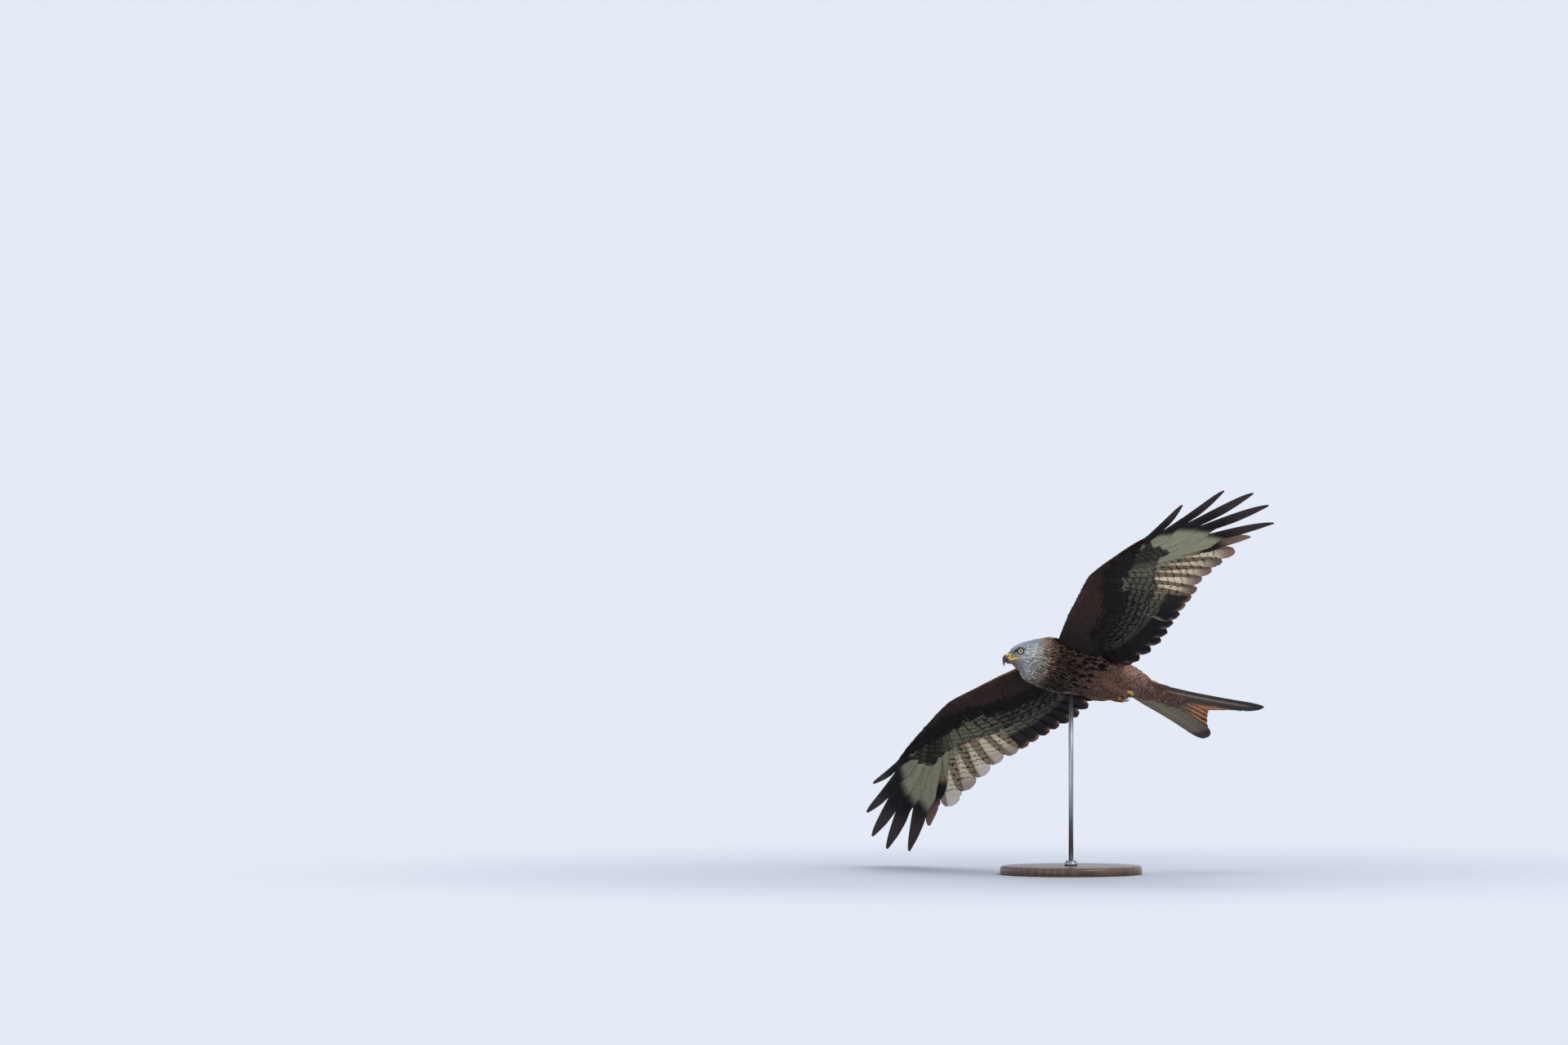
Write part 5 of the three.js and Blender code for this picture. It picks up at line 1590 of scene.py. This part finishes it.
def eyes():
    iris = iris_material()
    for side, name in ((1, "left"), (-1, "right")):
        # Gaze is out to the side and a little forward
        gaze = unit(np.array([EYE_GAZE, side, 0]))
        u = unit(np.cross(gaze, (0, 0, 1)))
        w = np.cross(u, gaze)
        rows, sides = 48, 48
        polar = np.linspace(0.01, math.pi - 0.01, rows)
        around = turns(sides)
        radius = EYE_RADIUS - 0.1 + 0.5 * np.exp(-((polar / 0.5) ** 2))
        ring = each(radius) * (each(np.cos(polar)) * gaze + each(np.sin(polar)) * circle(around, u, w))
        centre = np.array([EYE_AT[0], side * EYE_AT[1], EYE_AT[2]])
        rings = in_head(ring + centre)
        eye = loft(f"eyeball_{name}", rings, iris)
        P, A = np.meshgrid(polar, around, indexing="ij")
        attribute(eye.data, "gaze", pack(P, A, 0).reshape(-1, 3))
        ride(eye, "eye", f"eye_{name}")
        # Lids: a thin fleshy ring on the eyeball, flatter above where the brow presses on it
        a = turns(64)
        open_x, open_z = EYE_OPEN * np.cos(a), EYE_OPEN * np.sin(a) * np.where(np.sin(a) > 0, 0.84, 0.97)
        lean = np.sqrt((EYE_RADIUS + 0.1) ** 2 - open_x**2 - open_z**2)
        ring_line = lean[:, None] * gaze + open_x[:, None] * u + open_z[:, None] * np.array([0, 0, 1])
        thick = 0.5 + 0.35 * np.clip(np.sin(a), 0, 1)
        lid = closed_tube(in_head(ring_line + centre), in_head(centre + 3 * gaze), thick, 12)
        ride(outward(mesh_object(f"lids_{name}", *lid, LIDS)), "eye")


def closed_tube(line, middle, radii, sides):
    """A ring-shaped tube round a middle point"""
    n = len(line)
    ahead = unit(np.roll(line, -1, 0) - np.roll(line, 1, 0))
    out = line - middle
    out = unit(out - (out * ahead).sum(1, keepdims=True) * ahead)
    third = np.cross(ahead, out)
    rings = line[:, None] + each(radii) * circle(turns(sides), out[:, None], third[:, None])
    return rings.reshape(-1, 3), np.array(ring_quads(n, sides, n))


def toe_line(side, i):
    heel = np.array([FOOT_AT[0], side * FOOT_AT[1], FOOT_AT[2]])
    if i == 3:
        return heel + [(0, 0, 0), (-5, -side * 5.5, -2.5), (-10, -side * 8.7, -3)]
    spread, length = side * (i - 1) * TOE_SPREAD, TOE_LENGTH[i]
    return heel + [(0, 0, 0), (-0.45 * length, 0.6 * spread, -1), (-0.8 * length, spread, -0.5),
                   (-length, spread * 1.1, 0.5)]


def scaled_tube(name, line, radii, count):
    """A toe or shank with cross scales on its upper face"""
    line = np.asarray(line, float)
    at = np.concatenate([[0], np.cumsum(np.linalg.norm(np.diff(line, axis=0), axis=1))])
    fine = np.linspace(0, at[-1], count)
    smooth_line = spline(at, line, fine)
    r = np.interp(fine, at, radii)
    rings = tube_rings(smooth_line, r, 18)
    ridge = 1 + 0.07 * np.abs(np.sin(fine * math.pi / 2.6))
    ends = np.clip(np.minimum(fine, at[-1] - fine) / 2.0, 0, 1)
    ends = np.sqrt(1 - (1 - ends) ** 2) * 0.85 + 0.15
    return loft(name, smooth_line[:, None] + (rings - smooth_line[:, None]) * each(ridge * ends), FOOT)


def feet():
    turn = math.radians(TALON_ARC)
    r = TALON_LENGTH / turn
    for side, name in ((1, "left"), (-1, "right")):
        heel = np.array([FOOT_AT[0], side * FOOT_AT[1], FOOT_AT[2]])
        shank = heel + [(20, side * 2, 0), (9, side, -0.5), (0, 0, 0)]
        ride(scaled_tube(f"shank_{name}", shank, [4, 3.7, 4.2], 44), "yellow_skin", f"foot_{name}")
        for i in range(4):
            line = toe_line(side, i)
            ride(scaled_tube(f"toe_{name}_{i + 1}", line, np.linspace(3.3, 2.5, len(line)), 48),
                 "yellow_skin")
            end, ahead = line[-1], unit(line[-1] - line[-2])
            curl = np.array([-1, 0, 0] if i == 3 else [0, 0, 1])
            t = np.linspace(-0.12, 1, 22)
            a = turn * t
            claw = end + ahead * (r * np.sin(a))[:, None] + curl * (r * (1 - np.cos(a)))[:, None]
            radii = np.interp(t, [-0.12, 0, 0.35, 0.7, 1], [2, 2.2, 1.8, 1.2, 0.2])
            ride(loft(f"claw_{name}_{i + 1}", tube_rings(claw, radii, 14, 0.85), CLAW), "horn",
                 f"talon_{name}_{i + 1}")


def thigh_coat():
    """Loose feathers down each thigh, which hide most of the foot"""
    coat = Coat("thigh_plumage", SOFT)
    for side in (1, -1):
        line = np.array(THIGH + [(-124, 14.5, -39.5, 5), (-138, 14, -39, 3.4), (-152, 13.5, -38, 2)], float)
        line[:, 1] *= side
        limb = Surface(line[:, :3], tube_rings(line[:, :3], line[:, 3] + 0.8, 64))
        gaps = np.arange(2, 68, 3.2)
        u = np.repeat(gaps, 17) + rng.normal(0, 0.7, 17 * len(gaps))
        v = (np.arange(len(u)) % 17 + 0.5 * (np.arange(len(u)) // 17 % 2)) / 17 + rng.normal(0, 0.01, len(u))
        n = len(u)
        root, _ = limb.at(u, v)
        outer = smooth((side * root[:, 1] - 17) / 8)
        length = along([(0, 22), (40, 28), (68, 34)], u) * rng.uniform(0.85, 1.1, n) * (1 - 0.3 * outer)
        half = rng.uniform(3.2, 4.6, n)
        share, across, width, reach = contour_grid(n, 7, 5, np.full(n, 0.5))
        points, normals = limb.below(u, v, -each(length) * reach, across * width * each(half), 24)
        lift = each(rng.uniform(0, 1.2, n))
        points = points + normals * (-2 + (2 + lift) * share**0.7)[..., None]
        tone = ramp([(-125, (112, 84, 70)), (-40, (108, 78, 64))], root[:, 0]) * rng.normal(1, 0.1, (n, 1))
        looks = blade_looks(across, share, tone, jitter(paint(60, 44, 36), n), tone * 1.4, (0.12, 0.4, 0.7),
                            (length, half, 20))
        place = pack(0.01 + 0.98 * (v % 1), 0.5 + side * (0.01 + 0.45 * u / 70))
        coat.add_turned(True, points, normals, 0.18 * (1 - 0.5 * share), looks,
                        patch_uv(place, across, share))
    coat.finish("body_plumage")


# Stand
def wood_material():
    s = Shader("stand_walnut", Roughness=0.42, Coat_Weight=0.25, Coat_Roughness=0.25)
    grain = s.node("TexWave", wave_type="BANDS", bands_direction="Y")
    s.put(grain.inputs["Vector"], s.place())
    s.put(grain.inputs["Scale"], 22)
    s.put(grain.inputs["Distortion"], 6)
    s.put(grain.inputs["Detail"], 4)
    pores = s.noise(s.place(), 300, 4)
    tone = s.mix(grain.outputs[1], paint(70, 46, 32), paint(98, 66, 44))
    s.colour(s.mix(s.step(pores, 0.45, 0.7, (0, 0.5)), tone, paint(44, 28, 20)))
    s.bump(pores, 0.15, 0.0004)
    return s.material


def steel_material():
    s = Shader("stand_brushed_steel", Roughness=0.34, Metallic=1.0)
    fine = s.noise(s.join(*[s.times(c, f) for c, f in zip(s.split(s.place()), (900, 900, 30))]), 1.0, 3)
    s.colour(s.mix(fine, paint(128, 130, 134), paint(176, 178, 182)))
    s.bump(fine, 0.1, 0.0002)
    return s.material


def turned(name, profile, material, sides=128):
    """A lathe form round the upright axis"""
    a = turns(sides)
    rings = [pack(r * np.cos(a), r * np.sin(a), z) for r, z in profile]
    return loft(name, rings, material, body_frame=False)


def stand():
    wood, steel = wood_material(), steel_material()
    t = BASE_THICK
    base = [(BASE_RADIUS - 2, 0), (BASE_RADIUS, 1.5), (BASE_RADIUS, t - 6), (BASE_RADIUS - 1, t - 3.6),
            (BASE_RADIUS - 2.6, t - 1.6), (BASE_RADIUS - 5, t - 0.4), (BASE_RADIUS - 8, t), (15, t), (1, t)]
    ride(turned("stand_base_turned", base, wood), "stand_wood", "stand_base")
    rod = [(ROD_RADIUS, t - 12), (ROD_RADIUS, 200), (ROD_RADIUS, ROD_TOP)]
    ride(turned("stand_rod_steel", rod, steel, 48), "stand_steel", "stand_rod")
    collar = [(14, t + 0.3), (14, t + 4.6), (13.6, t + 5.2), (10.4, t + 10.4), (9.8, t + 11), (5.3, t + 11)]
    ride(turned("stand_collar_steel", collar, steel, 64), "stand_steel", "stand_collar")


# Camera, light and floor
def stage():
    view, right = Vector(VIEW_BACK).normalized(), Vector(VIEW_RIGHT)
    right = (right - right.dot(view) * view).normalized()
    up = view.cross(right)
    lens = SENSOR * CAMERA_DISTANCE / (PHOTO_WIDTH / PX_PER_MM / 1000)
    data = bpy.data.cameras.new("camera")
    data.sensor_width = SENSOR
    data.lens = lens
    data.clip_end = 400
    camera = bpy.data.objects.new("camera", data)
    bpy.context.scene.collection.objects.link(camera)
    # Turned so that the bird's middle falls where it is in the photo
    px = SENSOR / PHOTO_WIDTH
    at_px = Vector(((BIRD_PX[0] - PHOTO_WIDTH / 2) * px, (PHOTO_HEIGHT / 2 - BIRD_PX[1]) * px, -lens))
    aimed = at_px.rotation_difference(Vector((0, 0, -1))).to_matrix()
    turn = Matrix((right, up, view)).transposed() @ aimed
    place = Matrix.Translation(Vector(MIDDLE) / 1000 + view * CAMERA_DISTANCE)
    camera.matrix_world = place @ turn.to_4x4()
    bpy.context.scene.camera = camera

    world = bpy.data.worlds.new("sky")
    world.use_nodes = True
    sky = world.node_tree.nodes["Background"].inputs
    sky[0].default_value = (*paint(228, 234, 246), 1)
    sky[1].default_value = 1.0
    bpy.context.scene.world = world
    bpy.context.scene.view_settings.view_transform = "Standard"

    for name, at, size, power in (("key", (-0.6, 2.6, 2.6), 1.6, 60), ("fill", (2.6, 1.2, -0.1), 2.4, 22),
                                  ("top", (-0.8, -1.2, 3.2), 2.0, 45)):
        lamp = bpy.data.lights.new(name, "AREA")
        lamp.size, lamp.energy = size, power
        obj = bpy.data.objects.new(name, lamp)
        bpy.context.scene.collection.objects.link(obj)
        obj.location = at
        obj.rotation_euler = (Vector((0, 0, 0.45)) - Vector(at)).to_track_quat("-Z", "Y").to_euler()

    s = Shader("pale_floor", Roughness=0.9)
    radial = s.node("VectorMath", operation="LENGTH")
    s.put(radial.inputs[0], s.place())
    s.colour(s.mix(s.noise(s.place(), 3, 2), paint(170, 175, 185), paint(174, 179, 189)))
    s.put(s.bsdf.inputs["Alpha"], s.step(radial.outputs["Value"], 1.9, 0.3))
    a = turns(96)
    disc = pack(FLOOR_RADIUS * np.cos(a), FLOOR_RADIUS * np.sin(a), -0.5)
    floor = mesh_object("floor", disc, [list(range(96))], s.material, body_frame=False)


stage()
skin()
body_coat()
for sign, label in ((1, "left"), (-1, "right")):
    flight_feathers(sign, label)
    coverts(sign, label)
tail_feathers()
tail_coverts()
bill()
eyes()
feet()
thigh_coat()
stand()
